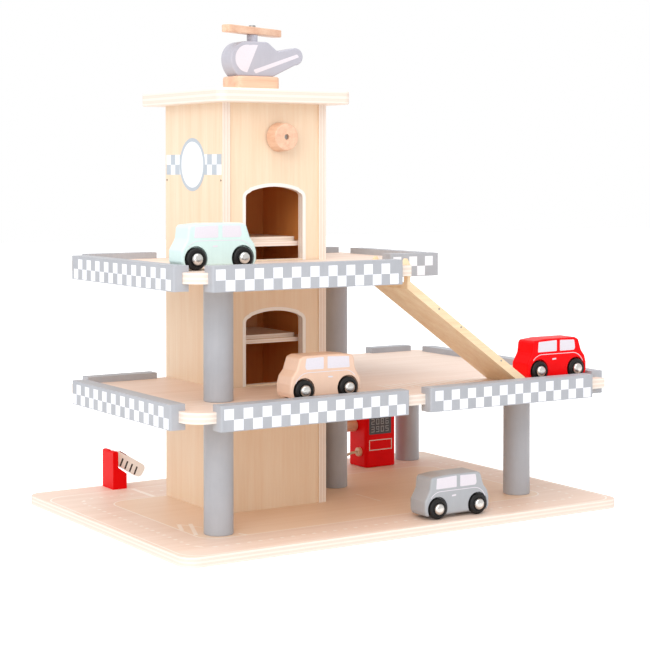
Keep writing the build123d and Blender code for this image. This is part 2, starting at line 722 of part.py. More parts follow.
with BuildPart() as rotor_pin:
    with BuildSketch(Plane.XY.offset(mast_bottom + MAST_HEIGHT - ROTOR_PIN_DEPTH)):
        with Locations((mast_x, tower_y)):
            Circle(ROTOR_PIN_DIAMETER / 2)
    extrude(amount=rotor_top + REST_GAP - (mast_bottom + MAST_HEIGHT - ROTOR_PIN_DEPTH))
    with BuildSketch(Plane.XY.offset(rotor_top + REST_GAP)):
        with Locations((mast_x, tower_y)):
            Circle(ROTOR_HEAD_DIAMETER / 2)
    extrude(amount=ROTOR_HEAD_HEIGHT)
    fillet(rotor_pin.edges().filter_by(GeomType.CIRCLE).sort_by(Axis.Z)[-1],
           ROTOR_HEAD_HEIGHT / 2)
rotor_pin.part.label = "rotor_pin"
export_step(rotor_pin.part, "parts/rotor_pin.step")


# ------------------------------------------------------------- fuel pump
pump_right = right - PUMP_FROM_RIGHT
pump_left = pump_right - PUMP_LENGTH
pump_back = back - PUMP_FROM_BACK
pump_front = pump_back - PUMP_DEPTH
pump_x = (pump_left + pump_right) / 2
pump_y = (pump_front + pump_back) / 2
hose_y = pump_front + HOSE_FROM_FRONT
hose_z = ground + HOSE_HEIGHT
nozzle_y = pump_back - NOZZLE_FROM_BACK
nozzle_z = ground + NOZZLE_HEIGHT
nozzle_end = pump_left - NOZZLE_LENGTH
hose_start = pump_left - GROMMET_LENGTH


def pump_side_plane(x, y, z):
    """Plane on the pump's left side, whose normal points away from the pump."""
    return Plane(origin=(x, y, z), x_dir=(0, -1, 0), z_dir=(-1, 0, 0))


with BuildPart() as pump_body:
    with BuildSketch(Plane.XY.offset(ground)):
        with Locations((pump_x, pump_y)):
            RectangleRounded(PUMP_LENGTH, PUMP_DEPTH, PUMP_EDGE)
    extrude(amount=PUMP_HEIGHT)
    fillet(pump_body.faces().sort_by(Axis.Z)[-1].edges(), PUMP_EDGE - 0.5)
    fillet(pump_body.faces().sort_by(Axis.Z)[0].edges(), PUMP_FOOT_EDGE)
    with BuildSketch(pump_side_plane(pump_left, nozzle_y, nozzle_z)):
        Circle(NOZZLE_TIP_DIAMETER / 2 + RUNNING_FIT)
    extrude(amount=-(NOZZLE_TIP_LENGTH + 1), mode=Mode.SUBTRACT)
pump_body.part.label = "pump_body"
export_step(pump_body.part, "parts/pump_body.step")

with BuildPart() as pump_grommet:
    with BuildSketch(pump_side_plane(pump_left, hose_y, hose_z)):
        Circle(GROMMET_DIAMETER / 2)
    extrude(amount=GROMMET_LENGTH)
    fillet(pump_grommet.faces().sort_by(Axis.X)[0].edges(), GROMMET_LENGTH / 3)
pump_grommet.part.label = "pump_grommet"
export_step(pump_grommet.part, "parts/pump_grommet.step")

with BuildPart() as pump_nozzle:
    with BuildSketch(pump_side_plane(pump_left, nozzle_y, nozzle_z)):
        Circle(NOZZLE_DIAMETER / 2)
    extrude(amount=NOZZLE_LENGTH)
    fillet(pump_nozzle.edges().filter_by(GeomType.CIRCLE), NOZZLE_EASE)
    with BuildSketch(pump_side_plane(pump_left, nozzle_y, nozzle_z)):
        Circle(NOZZLE_TIP_DIAMETER / 2)
    extrude(amount=-NOZZLE_TIP_LENGTH)
pump_nozzle.part.label = "pump_nozzle"
export_step(pump_nozzle.part, "parts/pump_nozzle.step")

# The hose leaves the grommet, drops to the base plate, makes a loose bend
# and climbs to the end of the nozzle. Offsets are from the hose's start.
hose_lie = ground + HOSE_DIAMETER / 2 + REST_GAP
hose_points = [
    (hose_start, hose_y, hose_z),
    (hose_start - 14, hose_y, hose_z),
    (hose_start - 29, hose_y - 6, hose_lie + 3),
    (hose_start - 45, hose_y - 12, hose_lie),
    (hose_start - 62, hose_y - 6, hose_lie),
    (hose_start - 65, hose_y + 10, hose_lie),
    (hose_start - 51, hose_y + 19, hose_lie + 3),
    (hose_start - 40, hose_y + 16, hose_lie + 14),
    (hose_start - 37, nozzle_y + 1, hose_lie + 28),
    (hose_start - 34, nozzle_y, nozzle_z - 7),
    (nozzle_end - 9, nozzle_y, nozzle_z),
    (nozzle_end, nozzle_y, nozzle_z),
]


def bend_radii(points):
    """Radius at each inner point: 0.45 of the shorter run over tan(half turn)."""
    radii = []
    for before, here, after in zip(points, points[1:], points[2:]):
        run_in = Vector(*here) - Vector(*before)
        run_out = Vector(*after) - Vector(*here)
        half_turn = math.radians(run_in.get_angle(run_out)) / 2
        radii.append(0.45 * min(run_in.length, run_out.length) / math.tan(half_turn))
    return radii


hose_radii = bend_radii(hose_points)
with BuildPart() as pump_hose:
    with BuildLine() as hose_route:
        FilletPolyline(*hose_points, radius=hose_radii)
    with BuildSketch(Plane(origin=hose_points[0], z_dir=hose_route.line % 0)):
        Circle(HOSE_DIAMETER / 2)
    sweep()
pump_hose.part.label = "pump_hose"
export_step(pump_hose.part, "parts/pump_hose.step")
hose_length = sum(edge.length for edge in hose_route.edges())
print("hose radii", [round(r, 1) for r in hose_radii])
print("hose runs", [round((Vector(*b) - Vector(*a)).length, 1)
                    for a, b in zip(hose_points, hose_points[1:])])
print("hose length", round(hose_length, 1), "volume ratio",
      round(pump_hose.part.volume / (math.pi * HOSE_DIAMETER ** 2 / 4 * hose_length), 4))


# --------------------------------------------------------------- barrier
barrier_left = left + BARRIER_FROM_LEFT
barrier_back = back - BARRIER_FROM_BACK
barrier_front = barrier_back - BARRIER_DEPTH
barrier_y = (barrier_front + barrier_back) / 2
pivot_x = barrier_left + BARRIER_PIVOT_X
pivot_z = ground + BARRIER_PIVOT_HEIGHT
pin_length = BARRIER_DEPTH - BARRIER_PIN_COVER


def barrier_plane(y):
    """Plane along X and Z at the barrier's lower left corner, normal to the front."""
    return Plane(origin=(barrier_left, y, ground), x_dir=(1, 0, 0), z_dir=(0, -1, 0))


with BuildPart() as barrier_post:
    with BuildSketch(barrier_plane(barrier_back)) as post_outline:
        with BuildLine():
            Polyline((0, 0), (BARRIER_LENGTH, 0), (BARRIER_LENGTH, BARRIER_SHOULDER_LOW),
                     (BARRIER_HEAD, BARRIER_SHOULDER_HIGH), (BARRIER_HEAD, BARRIER_HEIGHT),
                     (0, BARRIER_HEIGHT), close=True)
        make_face()
        fillet(post_outline.vertices().sort_by(Axis.Y)[-2:], BARRIER_CORNER)
    extrude(amount=BARRIER_DEPTH)
    with BuildSketch(barrier_plane(barrier_y + BARRIER_SLOT / 2)):
        with Locations((BARRIER_BACK_WALL, BARRIER_SLOT_FLOOR)):
            Rectangle(BARRIER_LENGTH, BARRIER_HEIGHT, align=(Align.MIN, Align.MIN))
    extrude(amount=BARRIER_SLOT, mode=Mode.SUBTRACT)
    with BuildSketch(barrier_plane(barrier_back)):
        with Locations((BARRIER_PIVOT_X, BARRIER_PIVOT_HEIGHT)):
            Circle(BARRIER_PIN_DIAMETER / 2)
    extrude(amount=pin_length, mode=Mode.SUBTRACT)
barrier_post.part.label = "barrier_post"
export_step(barrier_post.part, "parts/barrier_post.step")

with BuildPart() as barrier_pin:
    with BuildSketch(barrier_plane(barrier_back)):
        with Locations((BARRIER_PIVOT_X, BARRIER_PIVOT_HEIGHT)):
            Circle(BARRIER_PIN_DIAMETER / 2)
    extrude(amount=pin_length)
barrier_pin.part.label = "barrier_pin"
export_step(barrier_pin.part, "parts/barrier_pin.step")

# The arm droops from its pivot until its heel, which is cut upright, meets the
# wall behind the slot. Above the heel the arm is cut back, to clear that wall
# on its way up.
droop = math.radians(ARM_DROOP)
arm_thickness = BARRIER_SLOT - 2 * ARM_SIDE_GAP
arm_low = ARM_ABOVE_PIVOT - ARM_HEIGHT
heel_reach = BARRIER_PIVOT_X - BARRIER_BACK_WALL - ARM_HEEL_GAP
arm_plane = Plane(origin=(pivot_x, barrier_y + arm_thickness / 2, pivot_z),
                  x_dir=(math.cos(droop), 0, -math.sin(droop)), z_dir=(0, -1, 0))


def heel_point(above):
    """Point on the heel's upright cut, so far above the pivot's line."""
    return ((-heel_reach - above * math.sin(droop)) / math.cos(droop), above)


with BuildPart() as barrier_arm:
    with BuildSketch(arm_plane) as arm_outline:
        with BuildLine():
            Polyline(ARM_HEEL_TOP, heel_point(ARM_HEEL_BEND), heel_point(arm_low),
                     (ARM_REACH, arm_low), (ARM_REACH, ARM_ABOVE_PIVOT),
                     (ARM_SHOULDER, ARM_ABOVE_PIVOT), ARM_NECK, close=True)
        make_face()
        tip = arm_outline.vertices().sort_by(Axis.X)[-2:]
        fillet(tip, ARM_END_RADIUS)
        Circle(BARRIER_PIN_DIAMETER / 2 + RUNNING_FIT, mode=Mode.SUBTRACT)
    extrude(amount=arm_thickness)
barrier_arm.part.label = "barrier_arm"
export_step(barrier_arm.part, "parts/barrier_arm.step")


# ------------------------------------------------------------------ cars
wheel_outer = WHEEL_INNER + WHEEL_SIDE_GAP + WHEEL_WIDTH
half_track = wheel_outer + WHEEL_SIDE_GAP
wheel_radius = WHEEL_DIAMETER / 2
wheel_height = wheel_radius + REST_GAP


def car_side_plane(x, y, z, facing):
    """Plane along a car's length: local x runs to the nose, local y up."""
    return Plane(origin=(x, y, z), x_dir=(facing, 0, 0), z_dir=(0, -facing, 0))


def build_car(name, x, y, surface, facing):
    """One car: body, two axles with domed heads, and two pairs of wheels."""
    rear = -CAR_LENGTH / 2
    nose_end = CAR_LENGTH / 2
    centre = car_side_plane(x, y, surface, facing)
    wheel_places = [(-CAR_WHEELBASE / 2, wheel_height), (CAR_WHEELBASE / 2, wheel_height)]

    with BuildPart() as car_body:
        with BuildSketch(centre) as profile:
            with BuildLine():
                Polyline((rear + 2, CAR_CLEARANCE), (rear, 8), (rear, 18),
                         (rear + 4.5, CAR_BELT_HEIGHT), (rear + 6, CAR_BELT_HEIGHT + 3),
                         (rear + 7.2, CAR_ROOF_HEIGHT - 4), (rear + 9, CAR_ROOF_HEIGHT - 1.5),
                         (rear + 24, CAR_ROOF_HEIGHT), (nose_end - 15, CAR_ROOF_HEIGHT),
                         (nose_end - 10.5, CAR_ROOF_HEIGHT - 2),
                         (nose_end - 6.5, CAR_BELT_HEIGHT + 3), (nose_end - 2, 23),
                         (nose_end, 16), (nose_end, 8), (nose_end - 2, CAR_CLEARANCE), close=True)
            make_face()
            fillet(profile.vertices(), CAR_EDGE)
        extrude(amount=CAR_WIDTH / 2, both=True)
        fillet(car_body.faces().filter_by(Axis.Y).edges(), CAR_SIDE_EDGE)
        with BuildSketch(centre):
            with Locations(*wheel_places):
                Circle(CAR_AXLE_DIAMETER / 2)
        extrude(amount=CAR_WIDTH, both=True, mode=Mode.SUBTRACT)
        for side in (-1, 1):
            with BuildSketch(centre.offset(side * WHEEL_INNER)):
                with Locations(*wheel_places):
                    Circle(wheel_radius + WHEEL_ARCH_GAP)
            extrude(amount=side * CAR_WIDTH, mode=Mode.SUBTRACT)
    car_body.part.label = f"{name}_body"
    export_step(car_body.part, f"parts/{name}_body.step")

    with BuildPart() as axles:
        for place in wheel_places:
            hub = car_side_plane(x + facing * place[0], y, surface + place[1], facing)
            with BuildSketch(hub):
                Circle(CAR_AXLE_DIAMETER / 2)
            extrude(amount=half_track, both=True)
            for side in (-1, 1):
                with BuildSketch(hub.offset(side * half_track)):
                    Circle(DOME_DIAMETER / 2)
                extrude(amount=side * DOME_HEIGHT)
        rims = axles.edges().filter_by(GeomType.CIRCLE).group_by(Axis.Y)
        fillet([*rims[0], *rims[-1]], DOME_HEIGHT - WHEEL_SIDE_GAP)
    axles.part.label = f"{name}_axles"
    export_step(axles.part, f"parts/{name}_axles.step")

    for pair, place in zip(("rear_wheels", "front_wheels"), wheel_places):
        hub = car_side_plane(x + facing * place[0], y, surface + place[1], facing)
        with BuildPart() as wheels:
            for side in (-1, 1):
                with BuildSketch(hub.offset(side * (WHEEL_INNER + WHEEL_SIDE_GAP))):
                    Circle(wheel_radius)
                    Circle(CAR_AXLE_DIAMETER / 2 + RUNNING_FIT, mode=Mode.SUBTRACT)
                extrude(amount=side * WHEEL_WIDTH)
            treads = wheels.edges().filter_by(GeomType.CIRCLE)
            fillet(treads.filter_by(lambda edge: edge.radius > wheel_radius - WHEEL_EASE),
                   WHEEL_EASE)
        wheels.part.label = f"{name}_{pair}"
        export_step(wheels.part, f"parts/{name}_{pair}.step")


right_rail_inner = right - RAIL_INSET - rail_depth
build_car("mint_car", left + MINT_FROM_LEFT, front + MINT_FROM_FRONT, top_top, 1)
build_car("beige_car", left + BEIGE_FROM_LEFT, front + BEIGE_FROM_FRONT, mid_top, -1)
build_car("red_car", right_rail_inner - RED_FROM_RAIL, front + RED_FROM_FRONT, mid_top, 1)
build_car("grey_car", left + GREY_FROM_LEFT, front + GREY_FROM_FRONT, ground, 1)
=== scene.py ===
"""Looks of a wooden toy parking garage with a lift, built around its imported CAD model."""

import math
from functools import partial

import bmesh
import bpy
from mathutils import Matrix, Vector


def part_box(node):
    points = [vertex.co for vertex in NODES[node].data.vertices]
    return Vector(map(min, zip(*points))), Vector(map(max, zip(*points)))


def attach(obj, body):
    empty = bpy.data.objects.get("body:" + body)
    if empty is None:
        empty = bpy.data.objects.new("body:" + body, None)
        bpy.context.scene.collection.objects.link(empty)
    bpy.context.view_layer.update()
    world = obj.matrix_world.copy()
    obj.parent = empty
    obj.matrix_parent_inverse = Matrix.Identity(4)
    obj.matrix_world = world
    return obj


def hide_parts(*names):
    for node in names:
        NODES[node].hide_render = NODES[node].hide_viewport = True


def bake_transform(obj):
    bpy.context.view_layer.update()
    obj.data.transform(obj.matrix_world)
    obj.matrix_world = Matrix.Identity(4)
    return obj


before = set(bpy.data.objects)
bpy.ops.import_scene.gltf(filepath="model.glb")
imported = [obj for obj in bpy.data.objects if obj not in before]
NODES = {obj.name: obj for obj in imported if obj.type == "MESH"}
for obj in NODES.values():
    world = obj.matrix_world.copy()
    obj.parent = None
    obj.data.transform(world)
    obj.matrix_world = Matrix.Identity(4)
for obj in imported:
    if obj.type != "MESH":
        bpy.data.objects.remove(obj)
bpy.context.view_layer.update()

MM = 0.001
CARS = ("mint_car", "beige_car", "red_car", "grey_car")
FACING = {"mint_car": 1, "beige_car": -1, "red_car": 1, "grey_car": 1}
PRINT_THICKNESS = 0.12 * MM


# ------------------------------------------------------------------ colours
def srgb(red, green, blue):
    """Linear colour of an 8-bit one, as Blender's sockets want it."""
    def linear(value):
        share = value / 255
        return share / 12.92 if share <= 0.04045 else ((share + 0.055) / 1.055) ** 2.4
    return (linear(red), linear(green), linear(blue), 1.0)


BIRCH_LIGHT = srgb(243, 222, 196)
BIRCH_DARK = srgb(234, 203, 170)
# Painted shade: warmer, deeper wood tones for the decks' undersides
UNDERSIDE_SHADE_LIGHT = srgb(248, 208, 156)
UNDERSIDE_SHADE_DARK = srgb(236, 186, 128)
# Painted shade: warmer, deeper wood tones for the lift's back board, which stands in the shaft's
# shade
BACK_BOARD_SHADE_LIGHT = srgb(244, 186, 132)
BACK_BOARD_SHADE_DARK = srgb(230, 162, 104)
PLY_LIGHT = srgb(246, 235, 224)
PLY_DARK = srgb(228, 206, 190)
PRINTED_LIGHT = srgb(242, 220, 206)
PRINTED_DARK = srgb(230, 203, 184)
ROOF_LIGHT = srgb(246, 234, 222)
ROOF_DARK = srgb(238, 220, 204)
ROAD_LINE = srgb(252, 244, 236)
PINE_LIGHT = srgb(246, 222, 186)
PINE_DARK = srgb(232, 198, 156)
BEECH_LIGHT = srgb(238, 200, 172)
BEECH_DARK = srgb(218, 168, 138)
GREY_PAINT = srgb(176, 178, 184)
GREY_PAINT_DARK = srgb(166, 168, 174)
CHECKER_WHITE = srgb(240, 241, 247)
HELI_GREY = srgb(184, 183, 194)
SIGNAL_RED = srgb(236, 0, 6)
MINT = srgb(212, 235, 231)
BEIGE = srgb(236, 200, 176)
CAR_RED = srgb(248, 0, 8)
CAR_GREY = srgb(170, 173, 178)
WINDOW_WHITE = srgb(230, 224, 232)
ARM_WHITE = srgb(252, 252, 250)
STRIPE_DARK = srgb(52, 50, 54)
PANEL_DARK = srgb(64, 60, 62)
DIGIT_GREY = srgb(150, 146, 146)
LABEL_PALE = srgb(236, 214, 206)
WHEEL_BLACK = srgb(16, 15, 15)
STEEL = srgb(196, 194, 190)
STEEL_DARK = srgb(92, 88, 86)
CORD_PALE = srgb(232, 216, 190)
PIN_DARK = srgb(70, 62, 56)


# -------------------------------------------------------- node tree helpers
def add_node(tree, kind, inputs=None, **settings):
    """A node of that kind, with its settings made and its sockets set or linked."""
    made = tree.nodes.new(kind)
    for key, value in settings.items():
        setattr(made, key, value)
    for key, value in (inputs or {}).items():
        if isinstance(value, bpy.types.NodeSocket):
            tree.links.new(value, made.inputs[key])
        else:
            made.inputs[key].default_value = value
    return made


def calc(tree, operation, first, second=0.0, third=0.0):
    """Output of a Math node."""
    inputs = {0: first, 1: second, 2: third}
    return add_node(tree, "ShaderNodeMath", inputs, operation=operation).outputs[0]


def between(tree, value, low, high):
    """1 where the value lies between two limits."""
    return calc(tree, "MULTIPLY", calc(tree, "GREATER_THAN", value, low),
                calc(tree, "LESS_THAN", value, high))


def scaled(tree, vector, factors):
    """The vector times a vector of factors."""
    inputs = {0: vector, 1: factors}
    return add_node(tree, "ShaderNodeVectorMath", inputs, operation="MULTIPLY").outputs[0]


def mixed(tree, share, first, second):
    """Colour between first and second."""
    inputs = {0: share, 6: first, 7: second}
    return add_node(tree, "ShaderNodeMix", inputs, data_type="RGBA").outputs[2]


def noise(tree, vector, scale=1.0, detail=4.0, roughness=0.55):
    """Noise value over a vector."""
    inputs = {"Vector": vector, "Scale": scale, "Detail": detail, "Roughness": roughness}
    return add_node(tree, "ShaderNodeTexNoise", inputs).outputs[0]


def new_group(name, inputs, outputs):
    """Empty node group with named sockets; returns the tree and its input and output nodes."""
    tree = bpy.data.node_groups.new(name, "ShaderNodeTree")
    for label, kind, default in inputs:
        socket = tree.interface.new_socket(label, in_out="INPUT", socket_type=kind)
        if default is not None:
            socket.default_value = default
    for label, kind in outputs:
        tree.interface.new_socket(label, in_out="OUTPUT", socket_type=kind)
    return tree, tree.nodes.new("NodeGroupInput"), tree.nodes.new("NodeGroupOutput")


VALUE = "NodeSocketFloat"
COLOUR = "NodeSocketColor"
VECTOR = "NodeSocketVector"


def make_grain_group():
    """Wood grain: long streaks, fine fibres and small pores, drawn out by Stretch."""
    tree, given, result = new_group(
        "wood grain",
        [("Vector", VECTOR, None), ("Stretch", VECTOR, (100, 100, 10)), ("Light", COLOUR, None),
         ("Dark", COLOUR, None), ("Strength", VALUE, 1.0), ("Seed", VALUE, 0.0)],
        [("Color", COLOUR), ("Height", VALUE)])
    moved = add_node(tree, "ShaderNodeVectorMath",
                     {0: given.outputs["Vector"], 1: given.outputs["Seed"]}, operation="ADD")
    drawn = scaled(tree, moved.outputs[0], given.outputs["Stretch"])
    warp = noise(tree, drawn, 0.25, 2.0, 0.5)
    warped = add_node(tree, "ShaderNodeVectorMath", {0: drawn, 1: warp}, operation="ADD").outputs[0]
    streaks = noise(tree, warped, 0.5, 3.0, 0.6)
    fibres = noise(tree, warped, 2.6, 5.0, 0.7)
    pores = noise(tree, drawn, 7.0, 2.0, 0.6)
    pore_mask = add_node(tree, "ShaderNodeMapRange",
                         {"Value": pores, "From Min": 0.66, "From Max": 0.78})
    blended = calc(tree, "MULTIPLY_ADD", streaks, 0.6, calc(tree, "MULTIPLY", fibres, 0.4))
    spread = add_node(tree, "ShaderNodeMapRange",
                      {"Value": blended, "From Min": 0.36, "From Max": 0.64})
    shade = calc(tree, "MULTIPLY", spread.outputs[0], given.outputs["Strength"])
    plain = mixed(tree, shade, given.outputs["Light"], given.outputs["Dark"])
    pored = calc(tree, "MULTIPLY", pore_mask.outputs[0], 0.35)
    tree.links.new(mixed(tree, pored, plain, given.outputs["Dark"]), result.inputs["Color"])
    tree.links.new(calc(tree, "SUBTRACT", fibres, pore_mask.outputs[0]), result.inputs["Height"])
    return tree


def make_ply_group():
    """The layers that show on a plywood edge, across its thickness."""
    tree, given, result = new_group(
        "plywood layers",
        [("Vector", VECTOR, None), ("Depth", VALUE, 0.0), ("Thickness", VALUE, 0.009),
         ("Layers", VALUE, 5.0), ("Light", COLOUR, None), ("Dark", COLOUR, None)],
        [("Color", COLOUR), ("Height", VALUE)])
    share = calc(tree, "DIVIDE", given.outputs["Depth"], given.outputs["Thickness"])
    count = calc(tree, "MULTIPLY", share, given.outputs["Layers"])
    wobble = noise(tree, given.outputs["Vector"], 60.0, 3.0, 0.6)
    moved = calc(tree, "ADD", count, calc(tree, "MULTIPLY", wobble, 0.16))
    odd = calc(tree, "MODULO", calc(tree, "FLOOR", moved), 2.0)
    within = calc(tree, "FRACT", moved)
    seam = add_node(tree, "ShaderNodeMapRange",
                    {"Value": calc(tree, "ABSOLUTE", calc(tree, "SUBTRACT", within, 0.5)),
                     "From Min": 0.40, "From Max": 0.5}).outputs[0]
    fibre = noise(tree, given.outputs["Vector"], 900.0, 2.0, 0.6)
    tone = calc(tree, "MULTIPLY_ADD", odd, 0.45, calc(tree, "MULTIPLY", fibre, 0.35))
    darker = calc(tree, "MULTIPLY_ADD", seam, 0.4, tone)
    tree.links.new(mixed(tree, darker, given.outputs["Light"], given.outputs["Dark"]),
                   result.inputs["Color"])
    tree.links.new(calc(tree, "MULTIPLY_ADD", fibre, 0.6, odd), result.inputs["Height"])
    return tree


def make_paint_group():
    """Brushed-on paint over wood: slight clouds of tone, faint grain and gloss changes."""
    tree, given, result = new_group(
        "paint on wood",
        [("Vector", VECTOR, None), ("Color", COLOUR, None), ("Shade", COLOUR, None),
         ("Gloss", VALUE, 0.4)],
        [("Color", COLOUR), ("Roughness", VALUE), ("Height", VALUE)])
    clouds = noise(tree, given.outputs["Vector"], 28.0, 4.0, 0.6)
    lines = noise(tree, scaled(tree, given.outputs["Vector"], (1.0, 1.0, 0.12)), 420.0, 3.0, 0.6)
    peel = noise(tree, given.outputs["Vector"], 700.0, 2.0, 0.5)
    tone = add_node(tree, "ShaderNodeMapRange",
                    {"Value": calc(tree, "MULTIPLY_ADD", lines, 0.35, clouds),
                     "From Min": 0.45, "From Max": 0.95}).outputs[0]
    tree.links.new(mixed(tree, tone, given.outputs["Color"], given.outputs["Shade"]),
                   result.inputs["Color"])
    rough = calc(tree, "MULTIPLY_ADD", clouds, 0.16, given.outputs["Gloss"])
    tree.links.new(rough, result.inputs["Roughness"])
    tree.links.new(calc(tree, "MULTIPLY_ADD", lines, 0.6, peel), result.inputs["Height"])
    return tree


def make_checker_group():
    """Two rows of squares: 1 on a white square. Start 1 begins with one in the lower row."""
    tree, given, result = new_group(
        "checker rows",
        [("Along", VALUE, 0.0), ("Up", VALUE, 0.0), ("Pitch", VALUE, 0.0097),
         ("Row", VALUE, 0.0098), ("Columns", VALUE, 20.0), ("Start", VALUE, 0.0)],
        [("Mask", VALUE)])
    column = calc(tree, "DIVIDE", given.outputs["Along"], given.outputs["Pitch"])
    row = calc(tree, "DIVIDE", given.outputs["Up"], given.outputs["Row"])
    parity = calc(tree, "ADD", calc(tree, "FLOOR", column), calc(tree, "FLOOR", row))
    shifted = calc(tree, "ADD", parity, given.outputs["Start"])
    odd = calc(tree, "ABSOLUTE", calc(tree, "MODULO", shifted, 2.0))
    inside = calc(tree, "MULTIPLY", between(tree, column, 0.0, given.outputs["Columns"]),
                  between(tree, row, 0.0, 2.0))
    tree.links.new(calc(tree, "MULTIPLY", odd, inside), result.inputs["Mask"])
    return tree


def make_loop_group():
    """A printed line round a rectangle with rounded corners: 1 on the line."""
    tree, given, result = new_group(
        "printed loop",
        [("X", VALUE, 0.0), ("Y", VALUE, 0.0), ("Half X", VALUE, 0.1), ("Half Y", VALUE, 0.1),
         ("Radius", VALUE, 0.02), ("Width", VALUE, 0.0015)],
        [("Mask", VALUE), ("Inside", VALUE)])
    over = []
    for axis in ("X", "Y"):
        room = calc(tree, "SUBTRACT", given.outputs["Half " + axis], given.outputs["Radius"])
        over.append(calc(tree, "SUBTRACT", calc(tree, "ABSOLUTE", given.outputs[axis]), room))
    outer = [calc(tree, "MAXIMUM", value, 0.0) for value in over]
    reach = calc(tree, "SQRT", calc(tree, "ADD", calc(tree, "POWER", outer[0], 2.0),
                                    calc(tree, "POWER", outer[1], 2.0)))
    inner = calc(tree, "MINIMUM", calc(tree, "MAXIMUM", over[0], over[1]), 0.0)
    away = calc(tree, "SUBTRACT", calc(tree, "ADD", reach, inner), given.outputs["Radius"])
    tree.links.new(calc(tree, "LESS_THAN", calc(tree, "ABSOLUTE", away),
                        calc(tree, "DIVIDE", given.outputs["Width"], 2.0)), result.inputs["Mask"])
    tree.links.new(calc(tree, "LESS_THAN", away, 0.0), result.inputs["Inside"])
    return tree


GRAIN = make_grain_group()
PLY = make_ply_group()
PAINT = make_paint_group()
CHECKER = make_checker_group()
LOOP = make_loop_group()


def use_group(tree, group, inputs):
    """A group node with its sockets set or linked."""
    return add_node(tree, "ShaderNodeGroup", inputs, node_tree=group)


class Finish:
    """One material: its tree, shader and object coordinates."""

    def __init__(self, name, roughness=0.5, **fixed):
        self.material = bpy.data.materials.new(name)
        self.material.use_nodes = True
        self.tree = self.material.node_tree
        self.shader = self.tree.nodes["Principled BSDF"]
        self.shader.inputs["Roughness"].default_value = roughness
        for key, value in fixed.items():
            self.shader.inputs[key.replace("_", " ")].default_value = value
        place = self.tree.nodes.new("ShaderNodeTexCoord")
        self.place = place.outputs["Object"]
        self.normal = place.outputs["Normal"]
        self.axes = self.parts(self.place)
        self.faces = self.parts(self.normal)

    def parts(self, vector):
        """The three parts of a vector."""
        return add_node(self.tree, "ShaderNodeSeparateXYZ", {0: vector}).outputs

    def paint(self, colour, roughness=None):
        """Links the colour, and the roughness where one is given."""
        self.tree.links.new(colour, self.shader.inputs["Base Color"])
        if roughness is not None:
            self.tree.links.new(roughness, self.shader.inputs["Roughness"])

    def bump(self, height, strength, distance):
        """Relief from a height."""
        made = add_node(self.tree, "ShaderNodeBump",
                        {"Height": height, "Strength": strength, "Distance": distance})
        self.tree.links.new(made.outputs[0], self.shader.inputs["Normal"])


AXIS = {"X": 0, "Y": 1, "Z": 2}
GRAIN_ACROSS = 150.0
GRAIN_ALONG = 7.0
GRAIN_STRENGTH = 0.8
PLY_ROUGHNESS = 0.48
FACE_NORMAL = 0.6


def grain_stretch(axis, across=GRAIN_ACROSS, along=GRAIN_ALONG):
    """Stretch of the grain that runs along one axis."""
    return tuple(along if name == axis else across for name in "XYZ")


def plywood(name, node, ply_axis, grain_axis, layers, light=BIRCH_LIGHT, dark=BIRCH_DARK,
            seed=0.0):
    """Birch plywood: grain on the faces and layers on the edges. Returns the finish."""
    low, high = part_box(node)
    index = AXIS[ply_axis]
    finish = Finish(name, PLY_ROUGHNESS)
    tree = finish.tree
    grain = use_group(tree, GRAIN, {"Vector": finish.place, "Stretch": grain_stretch(grain_axis),
                                    "Light": light, "Dark": dark, "Strength": GRAIN_STRENGTH,
                                    "Seed": seed})
    depth = calc(tree, "SUBTRACT", finish.axes[index], low[index])
    edge = use_group(tree, PLY, {"Vector": finish.place, "Depth": depth,
                                 "Thickness": high[index] - low[index], "Layers": layers,
                                 "Light": PLY_LIGHT, "Dark": PLY_DARK})
    on_edge = calc(tree, "LESS_THAN", calc(tree, "ABSOLUTE", finish.faces[index]), FACE_NORMAL)
    finish.face_colour = grain.outputs["Color"]
    finish.edge_colour = edge.outputs["Color"]
    finish.on_edge = on_edge
    finish.paint(mixed(tree, on_edge, finish.face_colour, finish.edge_colour))
    height = add_node(tree, "ShaderNodeMix", {0: on_edge, 2: grain.outputs["Height"],
                                              3: edge.outputs["Height"]}, data_type="FLOAT")
    finish.bump(height.outputs[0], 0.12, 0.0004)
    return finish


# Painted shade: the tint that deepens the wood inside the lift shaft
SHAFT_SHADE_TINT = (1.0, 0.5, 0.18)
SHAFT_TOUCH = 0.4 * MM


def paint_shaft_shade(finish):
    """Painted shade: warmer, deeper wood on the faces that look into the lift shaft, standing in for
    the shade inside it.
    """
    tree = finish.tree
    sides = ((finish.axes[0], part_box("tower_left_panel")[1].x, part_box("tower_right_panel")[0].x),
             (finish.axes[1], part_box("tower_front_panel")[1].y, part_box("tower_back_panel")[0].y))
    inside = 1.0
    for place, near, far in sides:
        inside = calc(tree, "MULTIPLY", inside,
                      between(tree, place, near - SHAFT_TOUCH, far + SHAFT_TOUCH))
    plain = mixed(tree, finish.on_edge, finish.face_colour, finish.edge_colour)
    # Painted shade: inside the shaft the wood colour is multiplied by the warm tint
    finish.paint(mixed(tree, inside, plain, scaled(tree, plain, SHAFT_SHADE_TINT)))


def darker(colour, share):
    """The colour times a share."""
    return tuple(value * share for value in colour[:3]) + (1.0,)


def painted(name, colour, shade=None, gloss=0.4, **fixed):
    """Painted wood."""
    shade = shade or darker(colour, 0.9)
    finish = Finish(name, gloss, **fixed)
    film = use_group(finish.tree, PAINT, {"Vector": finish.place, "Color": colour,
                                          "Shade": shade, "Gloss": gloss})
    finish.film = film
    finish.paint(film.outputs["Color"], film.outputs["Roughness"])
    finish.bump(film.outputs["Height"], 0.08, 0.0003)
    return finish


